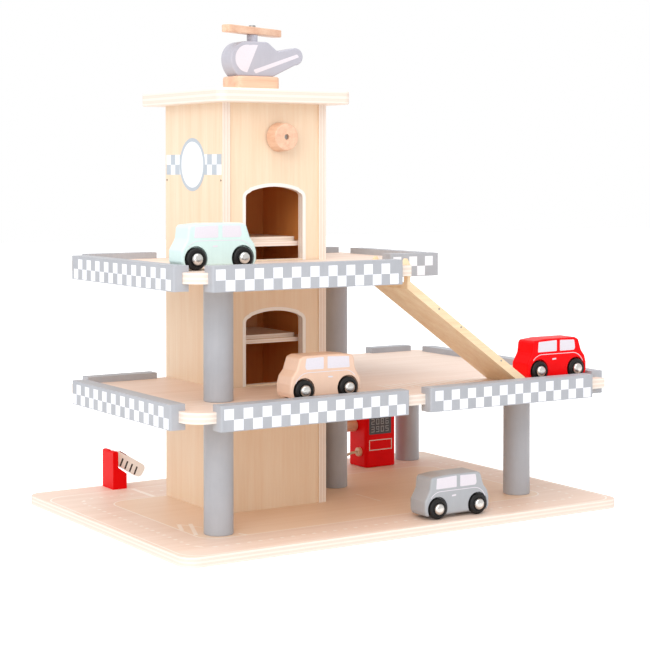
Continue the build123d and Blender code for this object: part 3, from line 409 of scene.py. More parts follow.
def bare_wood(name, light, dark, grain_axis, roughness=0.5, across=260.0, along=14.0):
    """Bare solid wood with its grain along one axis."""
    finish = Finish(name, roughness)
    grain = use_group(finish.tree, GRAIN,
                      {"Vector": finish.place, "Stretch": grain_stretch(grain_axis, across, along),
                       "Light": light, "Dark": dark, "Strength": 0.9})
    finish.paint(grain.outputs["Color"])
    finish.bump(grain.outputs["Height"], 0.15, 0.0003)
    return finish


def metal(name, colour, dark, roughness):
    """Plain metal with fine scratches."""
    finish = Finish(name, roughness, Metallic=1.0)
    scratches = noise(finish.tree, scaled(finish.tree, finish.place, (1.0, 0.1, 1.0)), 1500.0, 3.0)
    finish.paint(mixed(finish.tree, scratches, colour, dark),
                 calc(finish.tree, "MULTIPLY_ADD", scratches, 0.15, roughness))
    finish.bump(scratches, 0.1, 0.0002)
    return finish


def printed(name, colour, roughness=0.45):
    """Thin flat print, with the wood's fine texture through it."""
    finish = Finish(name, roughness)
    speck = noise(finish.tree, finish.place, 900.0, 3.0, 0.6)
    finish.paint(mixed(finish.tree, speck, colour, darker(colour, 0.88)))
    finish.bump(speck, 0.06, 0.0002)
    return finish


# ---------------------------------------------------------------- materials
def put(finish, *nodes):
    """Gives CAD nodes a finish."""
    for node in nodes:
        mesh = NODES[node].data
        mesh.materials.clear()
        mesh.materials.append(finish.material)


def checker_rail(node, side):
    """Grey rail with two rows of white squares on its outer face."""
    low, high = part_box(node)
    finish = painted("checkered " + node.replace("_", " "), GREY_PAINT, GREY_PAINT_DARK, 0.42)
    tree = finish.tree
    index = 0 if side == "front" else 1
    margin = CHECKER_MARGINS.get(node, CHECKER_MARGIN)
    along = calc(tree, "SUBTRACT", finish.axes[index], low[index] + margin)
    columns = math.floor((high[index] - low[index] - margin) / CHECKER_PITCH)
    up = calc(tree, "SUBTRACT", finish.axes[2], low[2] + CHECKER_BELOW)
    squares = use_group(tree, CHECKER, {"Along": along, "Up": up, "Pitch": CHECKER_PITCH,
                                        "Row": CHECKER_ROW, "Columns": columns,
                                        "Start": float(index)})
    on_face = calc(tree, "LESS_THAN", finish.faces[1 - index], -0.9)
    mask = calc(tree, "MULTIPLY", squares.outputs["Mask"], on_face)
    finish.paint(mixed(tree, mask, finish.film.outputs["Color"], CHECKER_WHITE),
                 finish.film.outputs["Roughness"])
    put(finish, node)


CHECKER_PITCH = 9.7 * MM
CHECKER_ROW = 9.6 * MM
CHECKER_MARGIN = 3.0 * MM
CHECKER_MARGINS = {"mid_rail_front_right": 5.4 * MM, "mid_rail_left": 2.9 * MM,
                   "top_rail_left": 5.2 * MM}
CHECKER_BELOW = 0.8 * MM

ROAD_WIDTH = 1.5 * MM
# Each loop is its centre, half lengths and corner radius, in metres
ROAD_OUTER = (0.0, -0.0155, 0.2455, 0.1565, 0.022)
ROAD_MIDDLE = (0.0, -0.0157, 0.2217, 0.1307, 0.022)
ROAD_INNER = (0.0, -0.015, 0.1995, 0.104, 0.021)
DOT_STEP = 0.0115
DOT_WIDTH = 0.0034
DOT_SHARE = 0.34
DOT_INK = 0.8
# Painted shade: the base inside the inner road line is tinted warmer, as it lies in the decks' shade
INNER_SHADE_SHARE = 0.45
INNER_SHADE_BIRCH = srgb(240, 212, 180)
# Painted strokes: two ends and a width, in metres
STROKES = [((-0.189, -0.046), (-0.199, -0.071), 0.004),
           ((-0.178, -0.048), (-0.197, -0.095), 0.004),
           ((-0.190, -0.042), (-0.176, -0.069), 0.0015),
           ((-0.161, -0.110), (-0.157, -0.119), 0.0035),
           ((-0.146, 0.140), (-0.146, 0.091), 0.005),
           ((0.036, -0.010), (0.036, -0.055), 0.0015)]


def road_loop(finish, loop, width):
    """The outputs of a printed loop round the plate."""
    centre_x, centre_y, half_x, half_y, radius = loop
    inputs = {"X": calc(finish.tree, "SUBTRACT", finish.axes[0], centre_x),
              "Y": calc(finish.tree, "SUBTRACT", finish.axes[1], centre_y),
              "Half X": half_x, "Half Y": half_y, "Radius": radius, "Width": width}
    return use_group(finish.tree, LOOP, inputs).outputs


def stroke(finish, start, end, width):
    """1 on a straight stroke between two points of the plate."""
    tree = finish.tree
    length = math.dist(start, end)
    run_x, run_y = (end[0] - start[0]) / length, (end[1] - start[1]) / length
    x = calc(tree, "SUBTRACT", finish.axes[0], start[0])
    y = calc(tree, "SUBTRACT", finish.axes[1], start[1])
    along = calc(tree, "MULTIPLY_ADD", x, run_x, calc(tree, "MULTIPLY", y, run_y))
    across = calc(tree, "MULTIPLY_ADD", x, -run_y, calc(tree, "MULTIPLY", y, run_x))
    near = calc(tree, "LESS_THAN", calc(tree, "ABSOLUTE", across), width / 2)
    off_middle = calc(tree, "ABSOLUTE", calc(tree, "SUBTRACT", along, length / 2))
    within = calc(tree, "LESS_THAN", off_middle, length / 2)
    return calc(tree, "MULTIPLY", near, within)


def base_finish():
    """The base plate: a road with a dotted middle between two lines, printed on birch, with painted
    shade that warms the birch inside the inner line.
    """
    finish = plywood("printed base plywood", "base_plate", "Z", "X", 5.0,
                     PRINTED_LIGHT, PRINTED_DARK)
    tree = finish.tree
    x, y = finish.axes[0], finish.axes[1]
    outer = road_loop(finish, ROAD_OUTER, ROAD_WIDTH)
    inner = road_loop(finish, ROAD_INNER, ROAD_WIDTH)
    middle = road_loop(finish, ROAD_MIDDLE, DOT_WIDTH)
    beside = calc(tree, "GREATER_THAN", calc(tree, "ABSOLUTE", x), ROAD_MIDDLE[2] - DOT_WIDTH)
    run = add_node(tree, "ShaderNodeMix", {0: beside, 2: x, 3: y}, data_type="FLOAT").outputs[0]
    dot = calc(tree, "LESS_THAN", calc(tree, "FRACT", calc(tree, "DIVIDE", run, DOT_STEP)),
               DOT_SHARE)
    ink = calc(tree, "MULTIPLY", calc(tree, "MULTIPLY", dot, middle["Mask"]), DOT_INK)
    for mask in [outer["Mask"], inner["Mask"]] + [stroke(finish, *mark) for mark in STROKES]:
        ink = calc(tree, "MAXIMUM", ink, mask)
    worn = noise(tree, finish.place, 260.0, 3.0, 0.6)
    ink = calc(tree, "MULTIPLY", ink, calc(tree, "MULTIPLY_ADD", worn, 0.4, 0.6))
    # Painted shade: inside the inner line the face colour is mixed towards a warm birch tone
    shaded_centre = mixed(tree, calc(tree, "MULTIPLY", inner["Inside"], INNER_SHADE_SHARE), finish.face_colour,
                 INNER_SHADE_BIRCH)
    printed_face = mixed(tree, ink, shaded_centre, ROAD_LINE)
    finish.paint(mixed(tree, finish.on_edge, printed_face, finish.edge_colour))
    return finish


DECK_LINE = -0.119
ZEBRA_ACROSS = (-0.113, -0.087)
ZEBRA_ALONG = {"mid_deck": (0.004, 0.142), "top_deck": (-0.012, 0.004)}
ZEBRA_STEP = 0.0084
ZEBRA_SHARE = 0.48


def deck_finish(node):
    """A deck: painted shade below, in warmer, deeper wood tones, and on top a faint line and a
    crossing's pale bars.
    """
    finish = plywood("printed " + node.replace("_", " "), node, "Z", "X", 5.0,
                     PRINTED_LIGHT, PRINTED_DARK)
    tree = finish.tree
    x, y = finish.axes[0], finish.axes[1]
    bars = calc(tree, "LESS_THAN", calc(tree, "FRACT", calc(tree, "DIVIDE", x, ZEBRA_STEP)),
                ZEBRA_SHARE)
    crossing = calc(tree, "MULTIPLY", between(tree, y, *ZEBRA_ACROSS),
                    between(tree, x, *ZEBRA_ALONG[node]))
    line = between(tree, y, DECK_LINE - ROAD_WIDTH / 2, DECK_LINE + ROAD_WIDTH / 2)
    worn = calc(tree, "MULTIPLY_ADD", noise(tree, finish.place, 240.0, 3.0, 0.6), 0.5, 0.4)
    ink = calc(tree, "MULTIPLY", worn, calc(tree, "MAXIMUM", line,
                                            calc(tree, "MULTIPLY", bars, crossing)))
    marked = mixed(tree, ink, finish.face_colour, ROAD_LINE)
    # Painted shade: faces that look down take the warmer, deeper underside tones
    under = calc(tree, "LESS_THAN", finish.faces[2], -0.5)
    grain = use_group(tree, GRAIN, {"Vector": finish.place, "Stretch": grain_stretch("X"),
                                    "Light": UNDERSIDE_SHADE_LIGHT, "Dark": UNDERSIDE_SHADE_DARK,
                                    "Strength": GRAIN_STRENGTH})
    faces = mixed(tree, under, marked, grain.outputs["Color"])
    finish.paint(mixed(tree, finish.on_edge, faces, finish.edge_colour))
    return finish


put(base_finish(), "base_plate")
put(deck_finish("mid_deck"), "mid_deck")
put(deck_finish("top_deck"), "top_deck")
for panel, across in (("tower_left_panel", "X"), ("tower_right_panel", "X"),
                      ("tower_front_panel", "Y"), ("tower_back_panel", "Y")):
    tower_side = plywood("birch " + panel.replace("_", " "), panel, across, "Z", 5.0,
                         seed=len(panel) * 0.37)
    # Painted shade on the panel faces inside the lift shaft
    paint_shaft_shade(tower_side)
    put(tower_side, panel)
put(plywood("birch roof", "tower_roof", "Z", "X", 5.0, ROOF_LIGHT, ROOF_DARK), "tower_roof")
for board in ("lift_floor_plate", "lift_floor_board", "lift_roof_board", "lift_roof_plate"):
    put(plywood("birch " + board.replace("_", " "), board, "Z", "X", 3.0), board)
# Painted shade: the back board takes the warmer, deeper shade tones
put(plywood("birch lift back board", "lift_back_board", "Y", "Z", 3.0, BACK_BOARD_SHADE_LIGHT,
            BACK_BOARD_SHADE_DARK), "lift_back_board")

grey = painted("grey paint", GREY_PAINT, GREY_PAINT_DARK, 0.42)
put(grey, "lower_posts", "upper_posts", "mid_rail_right", "mid_rail_back_left",
    "mid_rail_back_right", "top_rail_right", "top_rail_back")
for rail, side in (("mid_rail_front_left", "front"), ("mid_rail_front_right", "front"),
                   ("top_rail_front", "front"), ("top_rail_notch", "front"),
                   ("mid_rail_left", "left"), ("top_rail_left", "left")):
    checker_rail(rail, side)

pine = bare_wood("pine", PINE_LIGHT, PINE_DARK, "X", 0.5)
put(pine, "ramp_board", "ramp_strips")
beech_x = bare_wood("beech along x", BEECH_LIGHT, BEECH_DARK, "X", 0.45)
beech_y = bare_wood("beech end grain", BEECH_LIGHT, BEECH_DARK, "Y", 0.45, 420.0, 60.0)
put(beech_x, "helicopter_skid", "helicopter_rotor", "pump_nozzle")
put(beech_y, "winch_knob", "winch_drum", "pump_grommet")
heli = painted("helicopter paint", HELI_GREY, gloss=0.35)
put(heli, "helicopter_body", "helicopter_mast")
signal_red = painted("signal red paint", SIGNAL_RED, gloss=0.34, Specular_IOR_Level=0.1)
put(signal_red, "pump_body", "barrier_post")
put(painted("white arm paint", ARM_WHITE, gloss=0.4), "barrier_arm")
steel = metal("steel rod", STEEL, STEEL_DARK, 0.35)
put(steel, "winch_axle", "barrier_pin", "rotor_pin")
car_finishes = {"mint_car": painted("mint car paint", MINT, gloss=0.3, Coat_Weight=0.25),
                "beige_car": painted("beige car paint", BEIGE, gloss=0.35, Coat_Weight=0.15),
                "red_car": painted("red car paint", CAR_RED, gloss=0.3, Specular_IOR_Level=0.12),
                "grey_car": painted("grey car paint", CAR_GREY, gloss=0.32, Coat_Weight=0.2)}
for car in CARS:
    put(car_finishes[car], car + "_body")
dome_metal = metal("domed axle metal", srgb(236, 234, 230), srgb(176, 172, 168), 0.2)
wheel_black = painted("black wheel", WHEEL_BLACK, srgb(26, 24, 24), 0.36, Specular_IOR_Level=0.3)
window_white = printed("window white print", WINDOW_WHITE)
cord_finish = Finish("cotton cord", 0.8)
fuzz = noise(cord_finish.tree, cord_finish.place, 2600.0, 3.0, 0.6)
cord_finish.paint(mixed(cord_finish.tree, fuzz, CORD_PALE, srgb(204, 184, 154)))
cord_finish.bump(fuzz, 0.4, 0.0003)


# ------------------------------------------------------------ mesh helpers
def add_object(name, data):
    """A new object in the scene."""
    made = bpy.data.objects.new(name, data)
    bpy.context.scene.collection.objects.link(made)
    return made


def add_piece(name, mesh, finish, body, smooth=None):
    """Links a finished mesh as a piece that rides on a body."""
    obj = add_object(name, mesh)
    mesh.materials.clear()
    mesh.materials.append(finish.material)
    if smooth is not None:
        mesh.shade_smooth()
        mesh.set_sharp_from_angle(angle=math.radians(smooth))
    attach(obj, body)
    return obj


def mesh_of(name, build):
    """Mesh made by a function that fills a bmesh."""
    made = bmesh.new()
    build(made)
    bmesh.ops.recalc_face_normals(made, faces=made.faces)
    mesh = bpy.data.meshes.new(name)
    made.to_mesh(mesh)
    made.free()
    return mesh


def add_prism(made, outline, place, thickness):
    """Closed plate: an outline of (u, v) points, put in place by a function of (u, v, depth)."""
    near = [made.verts.new(place(u, v, 0.0)) for u, v in outline]
    far = [made.verts.new(place(u, v, thickness)) for u, v in outline]
    made.faces.new(near)
    made.faces.new(reversed(far))
    count = len(outline)
    for i in range(count):
        j = (i + 1) % count
        made.faces.new((near[j], near[i], far[i], far[j]))


def add_lathe(made, profile, place, steps=48):
    """Turned solid: profile of (distance along, radius), put in place by (along, a, b)."""
    rings = []
    for along, radius in profile:
        if radius <= 0:
            rings.append([made.verts.new(place(along, 0.0, 0.0))])
        else:
            rings.append([made.verts.new(place(along, radius * math.cos(2 * math.pi * i / steps),
                                               radius * math.sin(2 * math.pi * i / steps)))
                          for i in range(steps)])
    for first, second in zip(rings, rings[1:]):
        for i in range(steps):
            j = (i + 1) % steps
            corners = [first[i % len(first)], first[j % len(first)],
                       second[j % len(second)], second[i % len(second)]]
            unique = list(dict.fromkeys(corners))
            if len(unique) > 2:
                made.faces.new(unique)
    if profile[0] != profile[-1]:
        for ring in (rings[0], rings[-1]):
            if len(ring) > 1:
                made.faces.new(ring)


def arc(centre_u, centre_v, radius, start, end, steps):
    """Points on an arc, from start to end degrees."""
    angles = [math.radians(start + (end - start) * i / steps) for i in range(steps + 1)]
    return [(centre_u + radius * math.cos(angle), centre_v + radius * math.sin(angle))
            for angle in angles]


def bar(u, v, width, height):
    """Outline of a rectangle from its lower left corner."""
    return [(u, v), (u + width, v), (u + width, v + height), (u, v + height)]


def rounded(points, radius, steps=4):
    """The outline with each corner rounded by a short curve."""
    result = []
    count = len(points)
    for i, here in enumerate(points):
        before, after = points[i - 1], points[(i + 1) % count]
        first = Vector(before) - Vector(here)
        last = Vector(after) - Vector(here)
        reach = min(radius, first.length / 2.2, last.length / 2.2)
        start = Vector(here) + first.normalized() * reach
        end = Vector(here) + last.normalized() * reach
        for step in range(steps + 1):
            share = step / steps
            a = start.lerp(Vector(here), share)
            b = Vector(here).lerp(end, share)
            result.append(tuple(a.lerp(b, share)))
    return result


def ribbon(points, width):
    """Outline of a strip of that width along a line of points."""
    left, right = [], []
    for i, here in enumerate(points):
        before = Vector(points[max(i - 1, 0)])
        after = Vector(points[min(i + 1, len(points) - 1)])
        along = (after - before).normalized()
        side = Vector((-along.y, along.x)) * width / 2
        left.append(tuple(Vector(here) + side))
        right.append(tuple(Vector(here) - side))
    return left + right[::-1]


# -------------------------------------------------------------------- hose
grommet_low, grommet_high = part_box("pump_grommet")
nozzle_low, nozzle_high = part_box("pump_nozzle")
base_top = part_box("base_plate")[1].z
hose_start = Vector((grommet_low.x, (grommet_low.y + grommet_high.y) / 2,
                     (grommet_low.z + grommet_high.z) / 2))
nozzle_end = Vector((nozzle_low.x, (nozzle_low.y + nozzle_high.y) / 2,
                     (nozzle_low.z + nozzle_high.z) / 2))
HOSE_DIAMETER = 2.8 * MM
hose_lie = base_top + HOSE_DIAMETER / 2 + 0.25 * MM


def hose_point(back_x, shift_y, z):
    """Point of the hose's route, in millimetres from its start, with its height in metres."""
    return (hose_start.x + back_x * MM, hose_start.y + shift_y * MM, z)


HOSE_ROUTE = [
    tuple(hose_start),
    hose_point(-14, 0, hose_start.z),
    hose_point(-29, -6, hose_lie + 3 * MM),
    hose_point(-45, -12, hose_lie),
    hose_point(-62, -6, hose_lie),
    hose_point(-65, 10, hose_lie),
    hose_point(-51, 19, hose_lie + 3 * MM),
    hose_point(-40, 16, hose_lie + 14 * MM),
    (hose_start.x - 37 * MM, nozzle_end.y + 1 * MM, hose_lie + 28 * MM),
    (hose_start.x - 34 * MM, nozzle_end.y, nozzle_end.z - 7 * MM),
    (nozzle_end.x - 9 * MM, nozzle_end.y, nozzle_end.z),
    tuple(nozzle_end),
]

hose_curve = bpy.data.curves.new("pump_hose_line", "CURVE")
hose_curve.dimensions = "3D"
hose_spline = hose_curve.splines.new("NURBS")
hose_spline.points.add(len(HOSE_ROUTE) - 1)
for control, place in zip(hose_spline.points, HOSE_ROUTE):
    control.co = (*place, 1.0)
hose_spline.order_u = 3
hose_spline.use_endpoint_u = True
hose_spline.resolution_u = 12
hose_curve.bevel_depth = HOSE_DIAMETER / 2
hose_curve.bevel_resolution = 4
hose_curve.use_fill_caps = True
hose_curve.materials.append(cord_finish.material)
hose = add_object("hose", hose_curve)
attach(hose, "garage")
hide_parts("pump_hose")

# --------------------------------------------------------------- lift cord
CORD_STRANDS = 3
CORD_TWIST = 5.5 * MM
CORD_RINGS = 90
CORD_SIDES = 18
CORD_LOBE = 0.1
cord_low, cord_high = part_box("lift_cord")
cord_centre = (cord_low + cord_high) / 2
cord_radius = (cord_high.x - cord_low.x) / 2


def build_lift_cord(made):
    """Three-strand cord: a tube whose section has three lobes that turn as it rises."""
    rings = []
    for ring in range(CORD_RINGS + 1):
        z = cord_low.z + (cord_high.z - cord_low.z) * ring / CORD_RINGS
        turn = 2 * math.pi * (z - cord_low.z) / (CORD_TWIST * CORD_STRANDS)
        points = []
        for i in range(CORD_SIDES):
            angle = 2 * math.pi * i / CORD_SIDES
            radius = cord_radius * (1 - CORD_LOBE + CORD_LOBE * math.cos(
                CORD_STRANDS * (angle - turn)))
            points.append(made.verts.new((cord_centre.x + radius * math.cos(angle),
                                          cord_centre.y + radius * math.sin(angle), z)))
        rings.append(points)
    for lower, upper in zip(rings, rings[1:]):
        for i in range(CORD_SIDES):
            j = (i + 1) % CORD_SIDES
            made.faces.new((lower[i], lower[j], upper[j], upper[i]))
    made.faces.new(rings[0])
    made.faces.new(reversed(rings[-1]))


lift_cord = add_object("lift_rope", mesh_of("lift_rope", build_lift_cord))
lift_cord.data.materials.append(cord_finish.material)
lift_cord.data.shade_smooth()
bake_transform(lift_cord)
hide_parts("lift_cord")

# -------------------------------------------------------------------- cars
# Outlines are in a car's own side view, in millimetres: u from its rear end
# towards its nose, v up from the surface it stands on.
REAR_WINDOW = [(12.6, 29.0), (37.1, 29.2), (37.1, 40.3), (13.4, 39.3)]
FRONT_WINDOW = [(41.3, 29.1), (59.9, 29.2), (61.3, 31.4), (60.7, 36.4), (60.0, 39.6),
                (41.3, 40.1)]
DOOR_HANDLE = [(31.4, 20.5), (36.4, 20.8), (36.4, 22.3), (31.4, 22.0)]
TRIM_WIDTH = 0.6
FENDER_PLACES = ((18.0, 142, 90), (58.0, 90, 22))
FENDER_HEIGHT = 12.0
FENDER_RADIUS = 14.5
CAR_GROUND_GAP = 3.5 * MM
WHEEL_WIDTH = 7.0 * MM
WHEEL_BORE = 2.1 * MM
WHEEL_EDGE = 2.0 * MM
GROOVE_DEPTH = 0.5 * MM
DOME_HEIGHT = 3.5 * MM
DOME_RADIUS = 5.5 * MM
ROD_RADIUS = 2.0 * MM


def trim_line():
    """Fender line: over the rear wheel, level under the windows, over the front wheel."""
    return [point for centre, start, end in FENDER_PLACES
            for point in arc(centre, FENDER_HEIGHT, FENDER_RADIUS, start, end, 12)]


for car in CARS:
    low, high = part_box(car + "_body")
    facing = FACING[car]
    rear = low.x if facing > 0 else high.x
    surface = low.z - CAR_GROUND_GAP

    def car_point(side, u, v, depth):
        """Point on a car's side: side is -1 or 1 along Y."""
        y = high.y if side > 0 else low.y
        return (rear + facing * u * MM, y + side * (depth - PRINT_THICKNESS / 4), surface + v * MM)

    def build_windows(made):
        for side in (-1, 1):
            for outline, bend in ((REAR_WINDOW, 1.0), (FRONT_WINDOW, 1.0), (DOOR_HANDLE, 0.6)):
                add_prism(made, rounded(outline, bend), partial(car_point, side), PRINT_THICKNESS)

    def build_trim(made):
        for side in (-1, 1):
            add_prism(made, ribbon(trim_line(), TRIM_WIDTH), partial(car_point, side),
                      PRINT_THICKNESS)

    add_piece(car + "_windows", mesh_of(car + "_windows", build_windows), window_white, car)
    add_piece(car + "_trim", mesh_of(car + "_trim", build_trim), window_white, car)

    for pair in ("front_wheels", "rear_wheels"):
        node = f"{car}_{pair}"
        wheel_low, wheel_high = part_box(node)
        centre = (wheel_low + wheel_high) / 2
        radius = (wheel_high.z - wheel_low.z) / 2
        half_out = (wheel_high.y - wheel_low.y) / 2
        inner = half_out - WHEEL_WIDTH

        def build_wheels(made):
            for side in (-1, 1):
                rim = radius - WHEEL_EDGE
                quarter = [math.pi / 2 * i / 5 for i in range(6)]
                profile = [(inner, WHEEL_BORE), (inner, rim)]
                profile += [(inner + WHEEL_EDGE - WHEEL_EDGE * math.cos(t),
                             rim + WHEEL_EDGE * math.sin(t)) for t in quarter[1:]]
                profile += [(half_out - WHEEL_EDGE + WHEEL_EDGE * math.sin(t),
                             rim + WHEEL_EDGE * math.cos(t)) for t in quarter]
                profile += [(half_out, radius * 0.70), (half_out - GROOVE_DEPTH, radius * 0.66),
                            (half_out - GROOVE_DEPTH, radius * 0.56), (half_out, radius * 0.52),
                            (half_out, WHEEL_BORE), (inner, WHEEL_BORE)]
                add_lathe(made, profile, lambda along, a, b: (
                    centre.x + a, centre.y + side * along, centre.z + b))

        wheels = add_piece(node + "_turned", mesh_of(node, build_wheels), wheel_black, node,
                           40)
        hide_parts(node)

    axle_low, axle_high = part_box(car + "_axles")
    axle_y = (axle_low.y + axle_high.y) / 2
    reach = (axle_high.y - axle_low.y) / 2

    def build_axles(made):
        for pair in ("front_wheels", "rear_wheels"):
            wheel_low, wheel_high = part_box(f"{car}_{pair}")
            centre = (wheel_low + wheel_high) / 2
            half = []
            for share in range(9):
                angle = math.pi / 2 * share / 8
                half.append((reach - DOME_HEIGHT + DOME_HEIGHT * math.sin(angle),
                             DOME_RADIUS * math.cos(angle) ** 0.8 if share < 8 else 0.0))
            profile = [(reach - DOME_HEIGHT, ROD_RADIUS)] + half
            mirrored = [(-along, radius) for along, radius in reversed(profile)]
            add_lathe(made, mirrored + profile, lambda along, a, b: (
                centre.x + a, axle_y + along, centre.z + b))

    axles = add_piece(car + "_domed_axles", mesh_of(car + "_axles", build_axles), dome_metal, car,
                      35)
    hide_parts(car + "_axles")

# -------------------------------------------------------------- helicopter
heli_low, heli_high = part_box("helicopter_body")


def heli_point(side, u, v, depth):
    """Point on the helicopter's side: u from its nose, v up from the skid."""
    y = heli_high.y if side > 0 else heli_low.y
    return (heli_low.x + u * MM, y + side * (depth - PRINT_THICKNESS / 4), heli_low.z + v * MM)


HELI_WINDOW = [(30.9, 31.7), (25.0, 31.7)] + arc(18.6, 17.7, 13.9, 78, 269, 24)
HELI_STRIPE = [(28.0, 2.7), (25.6, 6.5), (77.3, 24.0), (79.9, 21.1)]


def build_heli_prints(made):
    for side in (-1, 1):
        for outline in (HELI_WINDOW, rounded(HELI_STRIPE, 1.2)):
            add_prism(made, outline, partial(heli_point, side), PRINT_THICKNESS)


add_piece("helicopter_prints", mesh_of("helicopter_prints", build_heli_prints), window_white,
          "helicopter")

# ------------------------------------------------------------ tower's sign
tower_low, tower_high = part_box("tower_left_panel")
SIGN_HEIGHT = 340.0
SIGN_RADIUS = 26.5
SIGN_RING = 3.6
SIGN_SHIFT = 1.8
BAND_SQUARE = 9.6
BAND_ROW = 10.1
BAND_FROM = 1.8
BAND_COLUMNS = 12
SIGN_STEPS = 64


def tower_point(u, v, depth):
    """On the tower's left face: u from its front edge, v up from the base plate."""
    return (tower_low.x - depth + PRINT_THICKNESS / 4, tower_low.y + u * MM, base_top + v * MM)


sign_centre = (tower_high.y - tower_low.y) / 2 / MM + SIGN_SHIFT


def sign_circle(radius):
    """Outline of a circle about the sign's centre."""
    return arc(sign_centre, SIGN_HEIGHT, radius, 0, 360, SIGN_STEPS)[:-1]


def add_band(made, rows, closed):
    """Faces between four rows of points that follow each other; closed joins the ends too."""
    count = len(rows[0])
    for i in range(count if closed else count - 1):
        j = (i + 1) % count
        for k in range(4):
            first, second = rows[k], rows[(k + 1) % 4]
            made.faces.new((first[i], first[j], second[j], second[i]))


def build_sign_ring(made):
    outer, inner = sign_circle(SIGN_RADIUS), sign_circle(SIGN_RADIUS - SIGN_RING)
    height = PRINT_THICKNESS * 2
    rows = [[made.verts.new(tower_point(u, v, depth)) for u, v in ring]
            for ring, depth in ((outer, 0.0), (outer, height), (inner, height), (inner, 0.0))]
    add_band(made, rows, True)


def build_sign_face(made):
    add_prism(made, sign_circle(SIGN_RADIUS - SIGN_RING), tower_point, PRINT_THICKNESS * 2)


def band_squares(parity):
    """The band's squares of one colour, left out where the disc covers them."""
    for column in range(BAND_COLUMNS):
        for row in range(2):
            if (column + row) % 2 != parity:
                continue
            u = BAND_FROM + column * BAND_SQUARE
            v = SIGN_HEIGHT - BAND_ROW + row * BAND_ROW
            nearest = min(abs(u - sign_centre), abs(u + BAND_SQUARE - sign_centre))
            if nearest > SIGN_RADIUS - BAND_SQUARE:
                yield bar(u, v, BAND_SQUARE, BAND_ROW)


def build_band(parity, made):
    """Prints the band's squares of one colour."""
    for outline in band_squares(parity):
        add_prism(made, outline, tower_point, PRINT_THICKNESS)


sign_grey = printed("sign grey print", srgb(190, 200, 210))
sign_white = printed("sign white print", srgb(246, 249, 254))
add_piece("sign_ring", mesh_of("sign_ring", build_sign_ring), sign_grey, "garage")
add_piece("sign_face", mesh_of("sign_face", build_sign_face), sign_white, "garage")
add_piece("sign_band_grey", mesh_of("sign_band_grey", partial(build_band, 1)), sign_grey,
          "garage")
add_piece("sign_band_white", mesh_of("sign_band_white", partial(build_band, 0)), sign_white,
          "garage")

PIN_PLACES = ((3.0, 324.5), (116.0, 324.5))
PIN_RADIUS = 1.0


def build_side_pins(made):
    """Small dowel ends near the two upright edges of the tower's left side."""
    for u, v in PIN_PLACES:
        add_lathe(made, [(0.0, PIN_RADIUS), (0.2, PIN_RADIUS), (0.3, PIN_RADIUS * 0.7),
                         (0.3, 0.0)],
                  lambda along, a, b: tower_point(u + a, v + b, along * MM), 20)


# The pale painted edge round each gate of the front panel
GATE_HALF = 32.75
GATE_SPRING = 66.7
GATE_RISE = 6.7
GATE_SHOULDER = 5.0
GATE_EDGE = 3.5
GATE_SILL = 0.2
SHOULDER_LIFT = 0.6
gate_front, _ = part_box("tower_front_panel")
gate_x = (tower_low.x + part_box("tower_right_panel")[1].x) / 2


def gate_line(out, sill):
    """Line up a gate's side, over its flat arch and down, that far outside the opening."""
    half = GATE_HALF + out
    spring = GATE_SPRING + out
    bend = GATE_SHOULDER + out
    crown_radius = (GATE_HALF ** 2 + GATE_RISE ** 2) / (2 * GATE_RISE) + out
    crown_centre = GATE_SPRING + GATE_RISE + out - crown_radius
    shoulder = arc(half - bend, spring - bend + SHOULDER_LIFT, bend, 0, 78, 8)
    over = [(half * share, crown_centre + math.sqrt(crown_radius ** 2 - (half * share) ** 2))
            for share in (0.78, 0.6, 0.4, 0.2, 0.0)]
    right_side = [(half, sill)] + shoulder + over
    return right_side + [(-u, v) for u, v in reversed(right_side[:-1])]


def build_gate_edges(made):
    for floor_top in (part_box("mid_deck")[1].z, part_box("top_deck")[1].z):
        inner = gate_line(0.0, GATE_SILL)
        outer = gate_line(GATE_EDGE, GATE_SILL)
        depths = (-PRINT_THICKNESS / 4, PRINT_THICKNESS)
        rows = [[made.verts.new((gate_x + u * MM, gate_front.y - depth, floor_top + v * MM))
                 for u, v in line]
                for line, depth in ((outer, depths[0]), (outer, depths[1]),
                                    (inner, depths[1]), (inner, depths[0]))]
        add_band(made, rows, False)
        for end in (0, -1):
            made.faces.new([row[end] for row in rows])


add_piece("side_pins", mesh_of("side_pins", build_side_pins),
          printed("dowel end", srgb(96, 72, 56)), "garage", smooth=40)
add_piece("gate_edges", mesh_of("gate_edges", build_gate_edges),
          printed("gate edge print", srgb(250, 244, 238)), "garage")

# --------------------------------------------------------------- fuel pump
pump_low, pump_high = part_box("pump_body")
PUMP_PANEL = [(4.5, 37.0), (34.5, 37.0), (34.5, 64.0), (4.5, 64.0)]
PUMP_LABEL = [(4.5, 19.0), (35.5, 19.0), (35.5, 31.0), (4.5, 31.0)]
LABEL_LINE = 1.0
DIGIT_WIDTH = 4.2
DIGIT_HEIGHT = 6.6
DIGIT_LINE = 0.9
DIGIT_START = 7.5
DIGIT_STEP = 6.4
DIGIT_ROWS = ((39.5, (3, 9, 0, 5)), (48.0, (2, 0, 8, 6)), (56.0, (1, 4, 7, 0)))
SEGMENTS = {0: "abcdef", 1: "bc", 2: "abged", 3: "abgcd", 4: "fgbc", 5: "afgcd", 6: "afgedc",
            7: "abc", 8: "abcdefg", 9: "abcdfg"}


def pump_point(u, v, depth):
    """On the pump's front: u from its left edge, v up from the base plate."""
    return (pump_low.x + u * MM, pump_low.y - depth + PRINT_THICKNESS / 4, base_top + v * MM)


